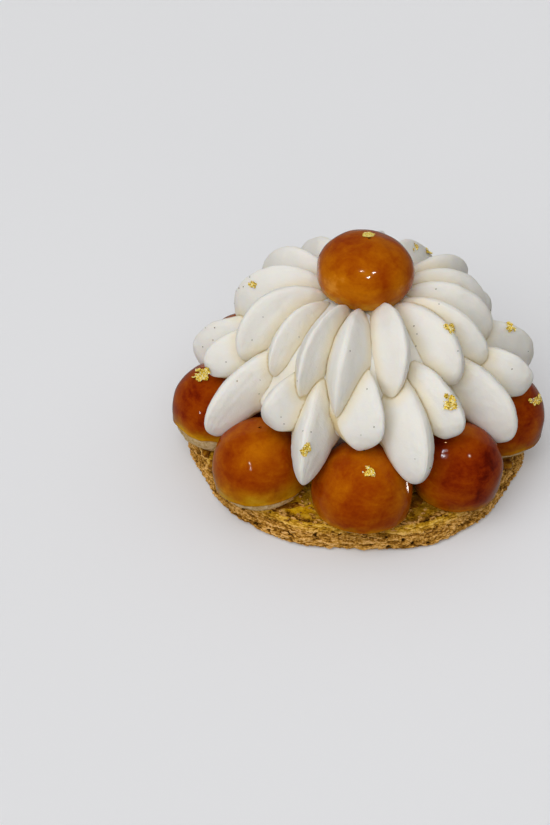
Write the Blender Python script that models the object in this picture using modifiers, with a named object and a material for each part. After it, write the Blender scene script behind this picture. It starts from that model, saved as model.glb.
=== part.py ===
"""Saint-honore cake.

A disc of puff pastry carries a ring of nine caramel-dipped choux.  A mound of
whipped cream fills the ring and is covered with two tiers of piped petals, each
a tall fin with a soft crest, and a tenth choux sits on top.

Metres, +Z up.  The origin is the middle of the pastry's flat underside, and the
side shown at the front looks along -Y.
"""
import math

import bmesh
import bpy
import numpy as np
from mathutils import Vector

# ---------------------------------------------------------------- sizes in mm
MM = 0.001
GAP = 0.3                      # clearance left where two pieces touch

PASTRY_R = 75.0                # mean radius of the pastry disc
PASTRY_H = 8.8                 # its thickness
PASTRY_WAVE = 1.1              # slow waviness of the rim
PASTRY_PULL = 1.2              # how far the rim is pulled to the front left
PASTRY_PULL_AT = -110.0        # and the azimuth of that, in degrees
PASTRY_JAG = 0.5               # ragged flakes of the rim
PASTRY_SEGMENTS = 46

# ring of choux: azimuth in degrees, distance of the middle from the axis,
# radius, rise above the widest level, depth below it, share of the radius
# left at the flat foot
RING_CHOUX = (
    (-170.5, 62.0, 21.2, 20.4, 13.9, 0.74),
    (-130.0, 62.5, 20.1, 20.1, 12.7, 0.78),
    (-86.7, 58.9, 21.3, 20.9, 11.2, 0.71),
    (-45.1, 61.0, 19.2, 19.8, 13.0, 0.74),
    (-5.2, 62.1, 20.7, 19.6, 13.6, 0.73),
    (33.5, 62.3, 20.2, 19.9, 13.2, 0.75),
    (72.5, 61.6, 20.6, 20.3, 12.9, 0.73),
    (111.5, 62.2, 19.9, 19.5, 13.3, 0.76),
    (150.0, 61.8, 20.8, 20.2, 13.0, 0.74),
)
TOP_CHOUX = (0.0, 0.0, 20.5, 14.2, 11.4, 0.66)
TOP_CHOUX_FOOT_Z = 80.1        # level of the top choux's flat foot
TOP_CHOUX_TILT = 2.9           # degrees towards +X
CHOUX_U, CHOUX_V = 16, 8

# cream mound under the petals: (radius, height) down the outside
MOUND = ((0.0, 79.6), (11.0, 79.9), (17.0, 80.0), (25.0, 78.6), (33.0, 75.4),
         (39.0, 70.4), (44.0, 64.6), (47.0, 58.6), (49.5, 54.4), (52.5, 51.0),
         (55.0, 48.2), (56.0, 45.8), (54.5, 43.6), (50.0, 41.0), (46.0, 37.0),
         (43.5, 31.0), (43.0, 20.0), (43.0, 9.1), (0.0, 9.1))
MOUND_STEPS = 20

# petals.  Root: where the crest runs out near the top of the mound.
UPPER_ROOT = (14.2, 77.0)      # radius, height
LOWER_ROOT = (36.0, 59.0)
# azimuth of the tip, turn of the root against it, lean of the crest (degrees),
# sway sideways, reach (radius of the tip), height of the tip, arch of the
# base line, half width, height of the crest, lift of the root
UPPER_PETALS = (
    (-98.0, 6, -3, 0.0, 51.0, 50.0, 7.5, 9.1, 16.5, 0.5),
    (-116.0, 4, 5, -1.5, 49.5, 53.0, 7.0, 8.0, 17.0, 0.5),
    (-137.0, -12, 10, -1.5, 48.0, 57.0, 4.5, 7.8, 14.0, -1.5),
    (-157.0, -8, 13, -3.5, 51.0, 55.0, 6.5, 9.2, 16.0, 0.5),
    (169.5, 2, -9, 1.0, 47.5, 49.0, 6.5, 8.8, 18.5, 0.5),
    (142.5, 2, 0, 0.5, 48.5, 52.5, 5.5, 8.5, 18.5, 0.0),
    (125.0, -11, -10, -1.5, 51.0, 53.5, 4.0, 8.8, 17.5, 0.0),
    (103.0, -2, -4, 0.0, 50.0, 53.0, 5.0, 8.8, 17.5, 0.0),
    (79.0, 5, 3, 1.0, 51.0, 52.5, 5.0, 8.8, 18.0, 0.5),
    (54.0, 15, 10, 2.5, 51.0, 51.5, 5.0, 8.8, 17.5, 0.5),
    (39.0, -11, -6, -1.5, 51.5, 57.0, 3.5, 8.8, 18.5, -0.5),
    (16.0, 1, 3, 0.5, 49.5, 54.0, 5.0, 8.7, 16.5, 0.5),
    (-19.0, -3, -6, -0.5, 49.5, 52.5, 4.5, 9.8, 17.0, -0.5),
    (-42.5, 9, -4, 2.0, 53.0, 59.5, 2.0, 10.0, 15.5, 0.0),
    (-75.5, 12, 12, 2.0, 46.5, 56.0, 4.5, 8.2, 16.5, 3.5),
    (1.0, 3, 0, 0.5, 49.5, 53.5, 4.0, 8.8, 16.5, 0.0),
)
LOWER_PETALS = (
    (-106.0, -6, 2, 0.0, 74.5, 32.0, 1.5, 8.7, 15.0, -2.0),
    (-87.2, -9, 34, -1.0, 61.0, 43.0, 3.0, 7.7, 17.5, 0.5),
    (-70.0, -1, 8, 1.5, 73.0, 33.0, 2.0, 10.2, 15.5, -0.5),
    (-53.0, -5, 0, 0.0, 65.0, 45.0, 3.5, 8.6, 14.0, 0.5),
    (-29.5, -6, -11, 3.5, 71.0, 30.0, 4.0, 9.6, 15.5, 0.0),
    (-12.0, -8, -5, 0.5, 73.0, 43.0, 3.0, 9.1, 15.0, -7.0),
    (12.0, -12, 1, 0.5, 75.5, 33.0, 2.0, 9.6, 15.0, -0.5),
    (32.0, -2, 2, 0.0, 65.0, 43.5, 2.5, 9.0, 14.0, -2.0),
    (52.0, 4, 3, 0.5, 73.5, 32.0, 2.0, 8.6, 14.5, 0.0),
    (71.0, 3, -4, 0.5, 67.0, 46.0, 2.5, 9.0, 14.5, 0.0),
    (91.0, -2, -5, 1.0, 73.0, 32.0, 2.5, 8.6, 14.0, 0.0),
    (112.0, -3, 5, -0.5, 68.0, 45.5, 2.5, 9.0, 14.5, 0.0),
    (131.0, 5, 4, -1.0, 74.0, 31.5, 2.0, 8.6, 14.5, 0.0),
    (150.5, 2, -2, 0.0, 63.5, 45.0, 2.5, 8.8, 13.5, -2.0),
    (171.5, 3, 0, 0.0, 72.5, 31.5, 2.5, 9.6, 14.0, -5.0),
    (-164.5, -2, 6, -1.0, 67.0, 46.5, 1.5, 9.1, 12.5, 0.0),
    (-145.5, 1, 12, -1.5, 73.5, 31.5, 3.0, 8.6, 14.0, 0.5),
    (-123.2, 5, -2, 0.5, 65.0, 48.0, 2.5, 9.2, 15.0, -7.0),
)
WIDE_AT, HIGH_AT = 0.52, 0.58  # where along its length a petal is widest, tallest
UPPER_SHARE = (0.30, 0.14)     # share of the width and of the crest at the root
LOWER_SHARE = (0.80, 0.55)
SKIRT = 4.0                    # spread of a petal's foot into its neighbours
PETAL_DEPTH = 9.5              # how far the body reaches under its base line
# how blunt a petal's end is; the others are BLUNT
BLUNT = 2.1
POINTED = {("upper", 1): 1.55, ("upper", 2): 1.7, ("upper", 3): 1.8, ("upper", 15): 1.65,
           ("lower", 1): 1.65, ("lower", 18): 3.0, ("lower", 4): 2.6, ("lower", 2): 2.3}
# shape of a petal's section: steepness of its sides and softness of its crest
SOFT = (0.72, 0.50)
RIDGED = {("upper", 1): (0.80, 0.52), ("upper", 2): (0.76, 0.20), ("upper", 3): (0.76, 0.22),
          ("lower", 1): (0.74, 0.38)}
CREST_CURL = 0.06
PETAL_STATIONS, PETAL_TOP, PETAL_UNDER = 7, 5, 3

RNG = np.random.default_rng(11)


# ------------------------------------------------------------------- helpers
def clear_scene():
    for ob in list(bpy.data.objects):
        bpy.data.objects.remove(ob, do_unlink=True)


def material(name, colour, roughness, coat=0.0):
    m = bpy.data.materials.new(name)
    m.use_nodes = True
    b = m.node_tree.nodes["Principled BSDF"]
    b.inputs["Base Color"].default_value = (*colour, 1.0)
    b.inputs["Roughness"].default_value = roughness
    b.inputs["Metallic"].default_value = 0.0
    b.inputs["Coat Weight"].default_value = coat
    return m


def add_object(name, bm, mat, coll, origin=(0.0, 0.0, 0.0)):
    """Object from a bmesh built in mm around its own origin."""
    mesh = bpy.data.meshes.new(name)
    bmesh.ops.scale(bm, vec=Vector((MM, MM, MM)), verts=bm.verts)
    bmesh.ops.recalc_face_normals(bm, faces=bm.faces)
    if bm.calc_volume(signed=True) < 0:
        bmesh.ops.reverse_faces(bm, faces=bm.faces)
    bmesh.ops.triangulate(bm, faces=bm.faces)
    bm.to_mesh(mesh)
    bm.free()
    ob = bpy.data.objects.new(name, mesh)
    ob.location = Vector(origin) * MM
    if mat is not None:
        mesh.materials.append(mat)
    coll.objects.link(ob)
    return ob


def bake(ob):
    """Put the object's evaluated mesh in place of its modifiers."""
    deps = bpy.context.evaluated_depsgraph_get()
    deps.update()
    mesh = bpy.data.meshes.new_from_object(ob.evaluated_get(deps))
    ob.modifiers.clear()
    old, ob.data = ob.data, mesh
    mesh.name = ob.name
    bpy.data.meshes.remove(old)


def world_box(ob):
    c = [ob.matrix_world @ Vector(v) for v in ob.bound_box]
    a = np.array([list(v) for v in c])
    return a.min(0), a.max(0)


def apart(a, b):
    (alo, ahi), (blo, bhi) = world_box(a), world_box(b)
    return bool((alo > bhi).any() or (blo > ahi).any())


def keep_largest(ob):
    """Drop the crumbs that a cut can split off."""
    bm = bmesh.new()
    bm.from_mesh(ob.data)
    bmesh.ops.remove_doubles(bm, verts=bm.verts, dist=1e-6)
    bmesh.ops.triangulate(bm, faces=bm.faces)
    todo, islands = set(bm.faces), []
    while todo:
        stack, isle = [todo.pop()], []
        while stack:
            f = stack.pop()
            isle.append(f)
            for e in f.edges:
                for g in e.link_faces:
                    if g in todo:
                        todo.discard(g)
                        stack.append(g)
        size = abs(sum(f.verts[0].co.dot(f.verts[1].co.cross(f.verts[2].co))
                       for f in isle))
        islands.append((size, isle))
    islands.sort(key=lambda it: it[0])
    for _, isle in islands[:-1]:
        bmesh.ops.delete(bm, geom=isle, context="FACES")
    loose = [v for v in bm.verts if not v.link_faces]
    bmesh.ops.delete(bm, geom=loose, context="VERTS")
    if bm.calc_volume(signed=True) < 0:
        bmesh.ops.reverse_faces(bm, faces=bm.faces)
    bm.to_mesh(ob.data)
    bm.free()


def cut_by(ob, cutters):
    near = [c for c in cutters if not apart(ob, c)]
    for c in near:
        m = ob.modifiers.new("cut", "BOOLEAN")
        m.operation = "DIFFERENCE"
        m.solver = "EXACT"
        m.use_self = True
        m.object = c
        bake(ob)
    if near:
        keep_largest(ob)


# -------------------------------------------------------------------- pastry
def pastry_rim(angle):
    return PASTRY_R + PASTRY_WAVE * math.cos(6 * angle) \
        + 0.4 * math.cos(11 * angle + 1.0) \
        + PASTRY_PULL * math.cos(angle - math.radians(PASTRY_PULL_AT))


def build_pastry(mat, coll):
    bm = bmesh.new()
    bmesh.ops.create_cone(bm, cap_ends=True, cap_tris=False,
                          segments=PASTRY_SEGMENTS, radius1=PASTRY_R,
                          radius2=PASTRY_R, depth=PASTRY_H)
    bmesh.ops.translate(bm, vec=(0, 0, PASTRY_H / 2), verts=bm.verts)
    for z in (1.8, 5.6):
        bmesh.ops.bisect_plane(bm, geom=bm.verts[:] + bm.edges[:] + bm.faces[:],
                               plane_co=(0, 0, z), plane_no=(0, 0, 1))
    jag = RNG.normal(0.0, PASTRY_JAG, (PASTRY_SEGMENTS, 4))
    inset = (1.4, 0.0, 0.6, 2.6)
    for v in bm.verts:
        a = math.atan2(v.co.y, v.co.x)
        k = int(round(a / (2 * math.pi) * PASTRY_SEGMENTS - 0.5)) % PASTRY_SEGMENTS
        level = min(range(4), key=lambda i: abs(v.co.z - (0, 1.8, 5.6, PASTRY_H)[i]))
        r = pastry_rim(a) - inset[level] + jag[k, level]
        v.co.x, v.co.y = r * math.cos(a), r * math.sin(a)
    return add_object("pastry_base", bm, mat, coll)


# --------------------------------------------------------------------- choux
def choux_bmesh(radius, rise, foot, foot_share, grow=0.0):
    """A ball with a flat foot at z = 0: sphere primitive pulled to shape."""
    bm = bmesh.new()
    bmesh.ops.create_uvsphere(bm, u_segments=CHOUX_U, v_segments=CHOUX_V,
                              radius=1.0)
    a, up, low = radius + grow, rise + grow, foot + grow
    for v in bm.verts:
        th = math.atan2(v.co.y, v.co.x)
        polar = math.acos(max(-1.0, min(1.0, v.co.z)))
        if polar <= math.pi / 2 + 1e-6:
            r, z = a * math.sin(polar), foot + up * math.cos(polar)
        else:
            x = min(1.0, (polar - math.pi / 2) / (math.pi / 2 * (1 - 2 / CHOUX_V)))
            r = a * (foot_share + (1 - foot_share) * math.sqrt(1 - x ** 2.2))
            z = foot - low * x
            if polar > math.pi - 1e-6:
                r = 0.0
        v.co = Vector((r * math.cos(th), r * math.sin(th), z))
    return bm


def build_choux(name, spec, foot_z, mat, coll, grow=0.0, tilt=0.0):
    azimuth, out, radius, rise, foot, share = spec
    bm = choux_bmesh(radius, rise, foot, share, grow)
    az = math.radians(azimuth)
    ob = add_object(name, bm, mat, coll,
                    (out * math.cos(az), out * math.sin(az), foot_z))
    ob.rotation_euler = (0.0, math.radians(tilt), 0.0)
    return ob


# ------------------------------------------------------------- cream mound
def build_mound(name, mat, coll, grow=0.0):
    """Turned profile with a Screw modifier."""
    pts = []
    for i, (r, z) in enumerate(MOUND):
        if grow and 0 < i < len(MOUND) - 1:
            (r0, z0), (r1, z1) = MOUND[i - 1], MOUND[i + 1]
            t = Vector((r1 - r0, z1 - z0)).normalized()
            r, z = r - t.y * grow, z + t.x * grow
        elif grow:
            z += grow if i == 0 else -grow
        pts.append((r * MM, 0.0, z * MM))
    mesh = bpy.data.meshes.new(name)
    mesh.from_pydata(pts, [(i, i + 1) for i in range(len(pts) - 1)], [])
    ob = bpy.data.objects.new(name, mesh)
    coll.objects.link(ob)
    s = ob.modifiers.new("turn", "SCREW")
    s.axis = "Z"
    s.steps = s.render_steps = MOUND_STEPS
    s.use_merge_vertices = True
    s.merge_threshold = 0.00005
    s.use_smooth_shade = False
    bake(ob)
    if mat is not None:
        ob.data.materials.clear()
        ob.data.materials.append(mat)
    return ob


# -------------------------------------------------------------------- petals
def swell(s, peak, start, blunt, share=0.0):
    """0..1 size along a petal: rises to 1 at peak, then a round end."""
    up = np.sin(np.pi / 2 * np.clip(s / peak, 0, 1) ** start)
    x = np.clip((s - peak) / (1 - peak), 0, 1)
    end = np.clip(1 - x ** blunt, 0, 1) ** (1 / blunt)
    return np.where(s < peak, share + (1 - share) * up, end)


def petal_section(power, soft):
    """Unit cross-section: pointed arch over the base line, round keel under it."""
    t = np.linspace(-1, 1, PETAL_TOP)
    t = np.sign(t) * np.abs(t) ** 0.95
    a = np.sqrt(t ** 2 + soft ** 2) - soft
    a = np.clip(1 - a / (math.sqrt(1 + soft ** 2) - soft), 0, 1)
    arch = (1 - CREST_CURL) * a ** power + CREST_CURL * a ** 2.6
    p = np.linspace(0, np.pi, PETAL_UNDER + 2)[1:-1]
    keel_u = np.sign(np.cos(p)) * np.abs(np.cos(p)) ** 0.6
    keel_v = -np.sin(p) ** 0.8
    return t, arch, keel_u, keel_v


def petal_rings(spec, root, share, blunt, section, grow=0.0):
    """Sections of one petal, in mm."""
    azimuth, turn, lean, sway, reach, tip_z, arch, half, crest, lift = spec
    a1 = math.radians(azimuth)
    a0 = math.radians(azimuth + turn)
    p0 = np.array([root[0] * math.cos(a0), root[0] * math.sin(a0),
                   root[1] + lift])
    p2 = np.array([reach * math.cos(a1), reach * math.sin(a1), tip_z])
    t = (p2 - p0) / np.linalg.norm(p2 - p0)
    out = np.array([math.cos(a1), math.sin(a1), 0.0])
    up = np.array([0.0, 0.0, 1.0])
    side = np.cross(out * 0.6 + up * 0.8, t)
    side /= np.linalg.norm(side)
    nrm = np.cross(t, side)
    if nrm @ (out * 0.5 + up) < 0:
        nrm = -nrm
    if side @ np.array([-math.sin(a1), math.cos(a1), 0.0]) < 0:
        side = -side
    p1 = (p0 + p2) / 2 + nrm * 2 * arch + side * 2 * sway

    k = PETAL_STATIONS // 2
    s = np.concatenate([
        np.linspace(0, WIDE_AT, k + 1)[:-1],
        WIDE_AT + (1 - WIDE_AT) * np.sin(np.linspace(0, np.pi / 2,
                                                     PETAL_STATIONS - k))])
    c = s[:, None]
    base = p0 * (1 - c) ** 2 + 2 * p1 * c * (1 - c) + p2 * c ** 2
    tan = 2 * (p1 - p0) * (1 - c) + 2 * (p2 - p1) * c
    tan /= np.linalg.norm(tan, axis=1)[:, None]
    n = nrm[None] - tan * (tan @ nrm)[:, None]
    n /= np.linalg.norm(n, axis=1)[:, None]
    sd = np.cross(n, tan)
    if sd[len(sd) // 2] @ side < 0:
        sd = -sd
    ca, sa = math.cos(math.radians(lean)), math.sin(math.radians(lean))
    n, sd = ca * n + sa * sd, ca * sd - sa * n

    w = half * swell(s, WIDE_AT, 0.9, blunt, share[0]) + grow
    h = crest * swell(s, HIGH_AT, 0.8, blunt + 0.2, share[1]) + grow
    foot = w + SKIRT * np.clip(1 - (s / 0.6) ** 3, 0, 1)
    d = (PETAL_DEPTH * np.clip(1 - (s / 0.95) ** 3, 0, 1) + 0.35 * half) \
        * swell(s, WIDE_AT, 0.9, blunt, 0.3) + grow
    tu, tv, ku, kv = petal_section(*section)
    rings = []
    for i in range(len(s)):
        top = base[i] + np.outer(tu * w[i], sd[i]) + np.outer(tv * h[i], n[i])
        low = base[i] + np.outer(ku * foot[i], sd[i]) + np.outer(kv * d[i], n[i])
        rings.append(np.vstack([top, low]))
    if grow:
        rings[0] = rings[0] - tan[0] * grow
        rings[-1] = rings[-1] + tan[-1] * grow
    return rings


def build_petal(name, spec, root, share, form, mat, coll, grow=0.0):
    """Loft through the sections, closed at both ends."""
    rings = petal_rings(spec, root, share, *form, grow)
    origin = rings[0].mean(0)
    bm = bmesh.new()
    loops = [[bm.verts.new(Vector(p - origin)) for p in r] for r in rings[:-1]]
    tip = bm.verts.new(Vector(rings[-1].mean(0) - origin))
    n = len(loops[0])
    for a, b in zip(loops[:-1], loops[1:]):
        for j in range(n):
            k = (j + 1) % n
            bm.faces.new((a[j], a[k], b[k]))
            bm.faces.new((a[j], b[k], b[j]))
    for j in range(n):
        bm.faces.new((loops[-1][j], loops[-1][(j + 1) % n], tip))
    bm.faces.new(loops[0][::-1])
    return add_object(name, bm, mat, coll, tuple(origin))


# ---------------------------------------------------------------------- model
def main():
    clear_scene()
    cake = bpy.data.collections.new("saint_honore_cake")
    cutters = bpy.data.collections.new("cutters")
    bpy.context.scene.collection.children.link(cake)
    bpy.context.scene.collection.children.link(cutters)

    pastry_mat = material("puff_pastry", (0.58, 0.32, 0.11), 0.75)
    caramel_mat = material("caramel", (0.36, 0.11, 0.008), 0.12, 1.0)
    cream_mat = material("whipped_cream", (0.86, 0.82, 0.74), 0.5)

    build_pastry(pastry_mat, cake)

    solids, guards = [], []
    top = build_choux("choux_top", TOP_CHOUX, TOP_CHOUX_FOOT_Z, caramel_mat, cake,
                      tilt=TOP_CHOUX_TILT)
    guards.append(build_choux("top_guard", TOP_CHOUX, TOP_CHOUX_FOOT_Z, None,
                              cutters, GAP, TOP_CHOUX_TILT))
    ring_guards = []
    for i, spec in enumerate(RING_CHOUX):
        build_choux(f"choux_ring_{i + 1:02d}", spec, PASTRY_H + GAP, caramel_mat, cake)
        ring_guards.append(build_choux(f"ring_guard_{i + 1:02d}", spec,
                                       PASTRY_H + GAP, None, cutters, GAP))
    guards += ring_guards
    bpy.context.view_layer.update()

    mound = build_mound("cream_mound", cream_mat, cake)
    cut_by(mound, guards)
    mound_guard = build_mound("mound_guard", None, cutters, GAP)
    guards.append(mound_guard)
    bpy.context.view_layer.update()

    tiers = (("upper", UPPER_ROOT, UPPER_SHARE, UPPER_PETALS),
             ("lower", LOWER_ROOT, LOWER_SHARE, LOWER_PETALS))
    for tier, root, share, rows in tiers:
        for i, spec in enumerate(rows):
            name = f"petal_{tier}_{i + 1:02d}"
            form = (POINTED.get((tier, i + 1), BLUNT), RIDGED.get((tier, i + 1), SOFT))
            ob = build_petal(name, spec, root, share, form, cream_mat, cake)
            bpy.context.view_layer.update()
            cut_by(ob, guards)
            guards.append(build_petal(name + "_guard", spec, root, share, form,
                                      None, cutters, GAP))
            bpy.context.view_layer.update()

    for ob in guards:
        bpy.data.objects.remove(ob, do_unlink=True)
    bpy.data.collections.remove(cutters)
    for ob in cake.objects:
        ob.data.shade_smooth()
        ob.data.set_sharp_from_angle(angle=math.radians(50))


main()
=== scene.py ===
"""Looks of the saint-honore cake.

Every CAD node is replaced by a finely modelled piece in the same place: piped
petals with a crest and small unevenness, choux with a caramel shell over a pale
baked skin, and a laminated pastry disc.  Gold leaf, vanilla specks, caramel
pools that also stand in for shade between the choux, flakes and crumbs are
added as true-size mesh.

Lengths in the tables are in mm; the meshes are in metres.
"""
import math

import bpy
import numpy as np
from mathutils import Matrix, Vector
from mathutils.bvhtree import BVHTree


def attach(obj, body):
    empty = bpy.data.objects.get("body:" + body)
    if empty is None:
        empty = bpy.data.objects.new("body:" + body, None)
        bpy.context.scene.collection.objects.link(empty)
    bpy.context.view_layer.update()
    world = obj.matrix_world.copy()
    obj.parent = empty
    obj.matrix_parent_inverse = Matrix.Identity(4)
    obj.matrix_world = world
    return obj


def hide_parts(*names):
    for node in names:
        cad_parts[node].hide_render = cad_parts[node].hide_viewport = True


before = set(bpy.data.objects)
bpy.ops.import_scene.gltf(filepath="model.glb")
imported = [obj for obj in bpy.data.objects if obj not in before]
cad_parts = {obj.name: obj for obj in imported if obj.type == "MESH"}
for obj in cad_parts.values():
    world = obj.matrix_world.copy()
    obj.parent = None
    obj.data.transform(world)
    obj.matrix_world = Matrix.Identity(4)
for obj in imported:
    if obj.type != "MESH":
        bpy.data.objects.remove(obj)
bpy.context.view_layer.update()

MM = 0.001
FRAME_W, FRAME_H = 550, 825

# ---------------------------------------------------------------- sizes in mm
PASTRY_R = 75.0
PASTRY_H = 8.8
PASTRY_WAVE = 1.1
PASTRY_PULL = 1.2              # how far the outline is pulled to the front left
PASTRY_PULL_AT = -110.0

RING_CHOUX = (
    (-170.5, 62.0, 21.2, 20.4, 13.9, 0.74),
    (-130.0, 62.5, 20.1, 20.1, 12.7, 0.78),
    (-86.7, 58.9, 21.3, 20.9, 11.2, 0.71),
    (-45.1, 61.0, 19.2, 19.8, 13.0, 0.74),
    (-5.2, 62.1, 20.7, 19.6, 13.6, 0.73),
    (33.5, 62.3, 20.2, 19.9, 13.2, 0.75),
    (72.5, 61.6, 20.6, 20.3, 12.9, 0.73),
    (111.5, 62.2, 19.9, 19.5, 13.3, 0.76),
    (150.0, 61.8, 20.8, 20.2, 13.0, 0.74),
)
RING_FOOT_Z = 9.1
TOP_CHOUX = (0.0, 0.0, 20.5, 14.2, 11.4, 0.66)
TOP_CHOUX_FOOT_Z = 80.1
TOP_CHOUX_TILT = 2.9

MOUND = ((0.0, 79.6), (11.0, 79.9), (17.0, 80.0), (25.0, 78.6), (33.0, 75.4),
         (39.0, 70.4), (44.0, 64.6), (47.0, 58.6), (49.5, 54.4), (52.5, 51.0),
         (55.0, 48.2), (56.0, 45.8), (54.5, 43.6), (50.0, 41.0), (46.0, 37.0),
         (43.5, 31.0), (43.0, 20.0), (43.0, 9.1), (0.0, 9.1))

UPPER_ROOT = (14.2, 77.0)
LOWER_ROOT = (36.0, 59.0)
# azimuth of the tip, turn of the root, lean, sway, reach, height of the tip,
# arch, half width, height of the crest, lift of the root
UPPER_PETALS = (
    (-98.0, 6, -3, 0.0, 51.0, 50.0, 7.5, 9.1, 16.5, 0.5),
    (-116.0, 4, 5, -1.5, 49.5, 53.0, 7.0, 8.0, 17.0, 0.5),
    (-137.0, -12, 10, -1.5, 48.0, 57.0, 4.5, 7.8, 14.0, -1.5),
    (-157.0, -8, 13, -3.5, 51.0, 55.0, 6.5, 9.2, 16.0, 0.5),
    (169.5, 2, -9, 1.0, 47.5, 49.0, 6.5, 8.8, 18.5, 0.5),
    (142.5, 2, 0, 0.5, 48.5, 52.5, 5.5, 8.5, 18.5, 0.0),
    (125.0, -11, -10, -1.5, 51.0, 53.5, 4.0, 8.8, 17.5, 0.0),
    (103.0, -2, -4, 0.0, 50.0, 53.0, 5.0, 8.8, 17.5, 0.0),
    (79.0, 5, 3, 1.0, 51.0, 52.5, 5.0, 8.8, 18.0, 0.5),
    (54.0, 15, 10, 2.5, 51.0, 51.5, 5.0, 8.8, 17.5, 0.5),
    (39.0, -11, -6, -1.5, 51.5, 57.0, 3.5, 8.8, 18.5, -0.5),
    (16.0, 1, 3, 0.5, 49.5, 54.0, 5.0, 8.7, 16.5, 0.5),
    (-19.0, -3, -6, -0.5, 49.5, 52.5, 4.5, 9.8, 17.0, -0.5),
    (-42.5, 9, -4, 2.0, 53.0, 59.5, 2.0, 10.0, 15.5, 0.0),
    (-75.5, 12, 12, 2.0, 46.5, 56.0, 4.5, 8.2, 16.5, 3.5),
    (1.0, 3, 0, 0.5, 49.5, 53.5, 4.0, 8.8, 16.5, 0.0),
)
LOWER_PETALS = (
    (-106.0, -6, 2, 0.0, 74.5, 32.0, 1.5, 8.7, 15.0, -2.0),
    (-87.2, -9, 34, -1.0, 61.0, 43.0, 3.0, 7.7, 17.5, 0.5),
    (-70.0, -1, 8, 1.5, 73.0, 33.0, 2.0, 10.2, 15.5, -0.5),
    (-53.0, -5, 0, 0.0, 65.0, 45.0, 3.5, 8.6, 14.0, 0.5),
    (-29.5, -6, -11, 3.5, 71.0, 30.0, 4.0, 9.6, 15.5, 0.0),
    (-12.0, -8, -5, 0.5, 73.0, 43.0, 3.0, 9.1, 15.0, -7.0),
    (12.0, -12, 1, 0.5, 75.5, 33.0, 2.0, 9.6, 15.0, -0.5),
    (32.0, -2, 2, 0.0, 65.0, 43.5, 2.5, 9.0, 14.0, -2.0),
    (52.0, 4, 3, 0.5, 73.5, 32.0, 2.0, 8.6, 14.5, 0.0),
    (71.0, 3, -4, 0.5, 67.0, 46.0, 2.5, 9.0, 14.5, 0.0),
    (91.0, -2, -5, 1.0, 73.0, 32.0, 2.5, 8.6, 14.0, 0.0),
    (112.0, -3, 5, -0.5, 68.0, 45.5, 2.5, 9.0, 14.5, 0.0),
    (131.0, 5, 4, -1.0, 74.0, 31.5, 2.0, 8.6, 14.5, 0.0),
    (150.5, 2, -2, 0.0, 63.5, 45.0, 2.5, 8.8, 13.5, -2.0),
    (171.5, 3, 0, 0.0, 72.5, 31.5, 2.5, 9.6, 14.0, -5.0),
    (-164.5, -2, 6, -1.0, 67.0, 46.5, 1.5, 9.1, 12.5, 0.0),
    (-145.5, 1, 12, -1.5, 73.5, 31.5, 3.0, 8.6, 14.0, 0.5),
    (-123.2, 5, -2, 0.5, 65.0, 48.0, 2.5, 9.2, 15.0, -7.0),
)
WIDE_AT, HIGH_AT = 0.52, 0.58
UPPER_SHARE = (0.30, 0.14)
LOWER_SHARE = (0.80, 0.55)
# how blunt a petal's end is; the others are BLUNT
BLUNT = 2.1
POINTED = {("upper", 1): 1.55, ("upper", 2): 1.7, ("upper", 3): 1.8, ("upper", 15): 1.65,
           ("lower", 1): 1.65, ("lower", 18): 3.0, ("lower", 4): 2.6, ("lower", 2): 2.3}
SKIRT = 4.0
PETAL_DEPTH = 9.5
# shape of a petal's section: steepness of its sides and softness of its crest
SOFT = (0.72, 0.50)
RIDGED = {("upper", 1): (0.80, 0.52), ("upper", 2): (0.76, 0.20), ("upper", 3): (0.76, 0.22),
          ("lower", 1): (0.74, 0.38)}
CREST_CURL = 0.06

# --------------------------------------------------------------------- camera
EYE = np.array([0.0, -475.6, 381.0])           # mm
YAW, PITCH = math.radians(-4.50), math.radians(-38.81 + 1.16)
FOCAL = 1321.0                                  # in pixels of the long side
FW = np.array([math.sin(YAW) * math.cos(PITCH),
               math.cos(YAW) * math.cos(PITCH), math.sin(PITCH)])
RIGHT = np.cross(FW, [0.0, 0.0, 1.0])
RIGHT /= np.linalg.norm(RIGHT)
UP = np.cross(RIGHT, FW)


def make_camera():
    cam = bpy.data.cameras.new("camera")
    ob = bpy.data.objects.new("camera", cam)
    bpy.context.scene.collection.objects.link(ob)
    m = Matrix.Identity(4)
    for i in range(3):
        m[i][0], m[i][1], m[i][2] = RIGHT[i], UP[i], -FW[i]
        m[i][3] = EYE[i] * MM
    ob.matrix_world = m
    cam.sensor_fit = "AUTO"
    cam.sensor_width = 36.0
    cam.lens = FOCAL / FRAME_H * 36.0
    cam.clip_start = 0.01
    cam.clip_end = 50.0
    bpy.context.scene.camera = ob


def ray(px, py):
    """Direction through a point of the 550 x 825 frame, from EYE."""
    d = FW + RIGHT * (px - FRAME_W / 2) / FOCAL - UP * (py - FRAME_H / 2) / FOCAL
    return d / np.linalg.norm(d)


# ---------------------------------------------------------------------- noise
def _hash(ix, iy, iz, seed):
    h = (ix * 73856093) ^ (iy * 19349663) ^ (iz * 83492791) ^ (seed * 40503 + 977)
    h = h & 0xFFFFFFFF
    h = ((h ^ (h >> 16)) * 0x45D9F3B) & 0xFFFFFFFF
    h = ((h ^ (h >> 16)) * 0x45D9F3B) & 0xFFFFFFFF
    return h ^ (h >> 16)


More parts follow.
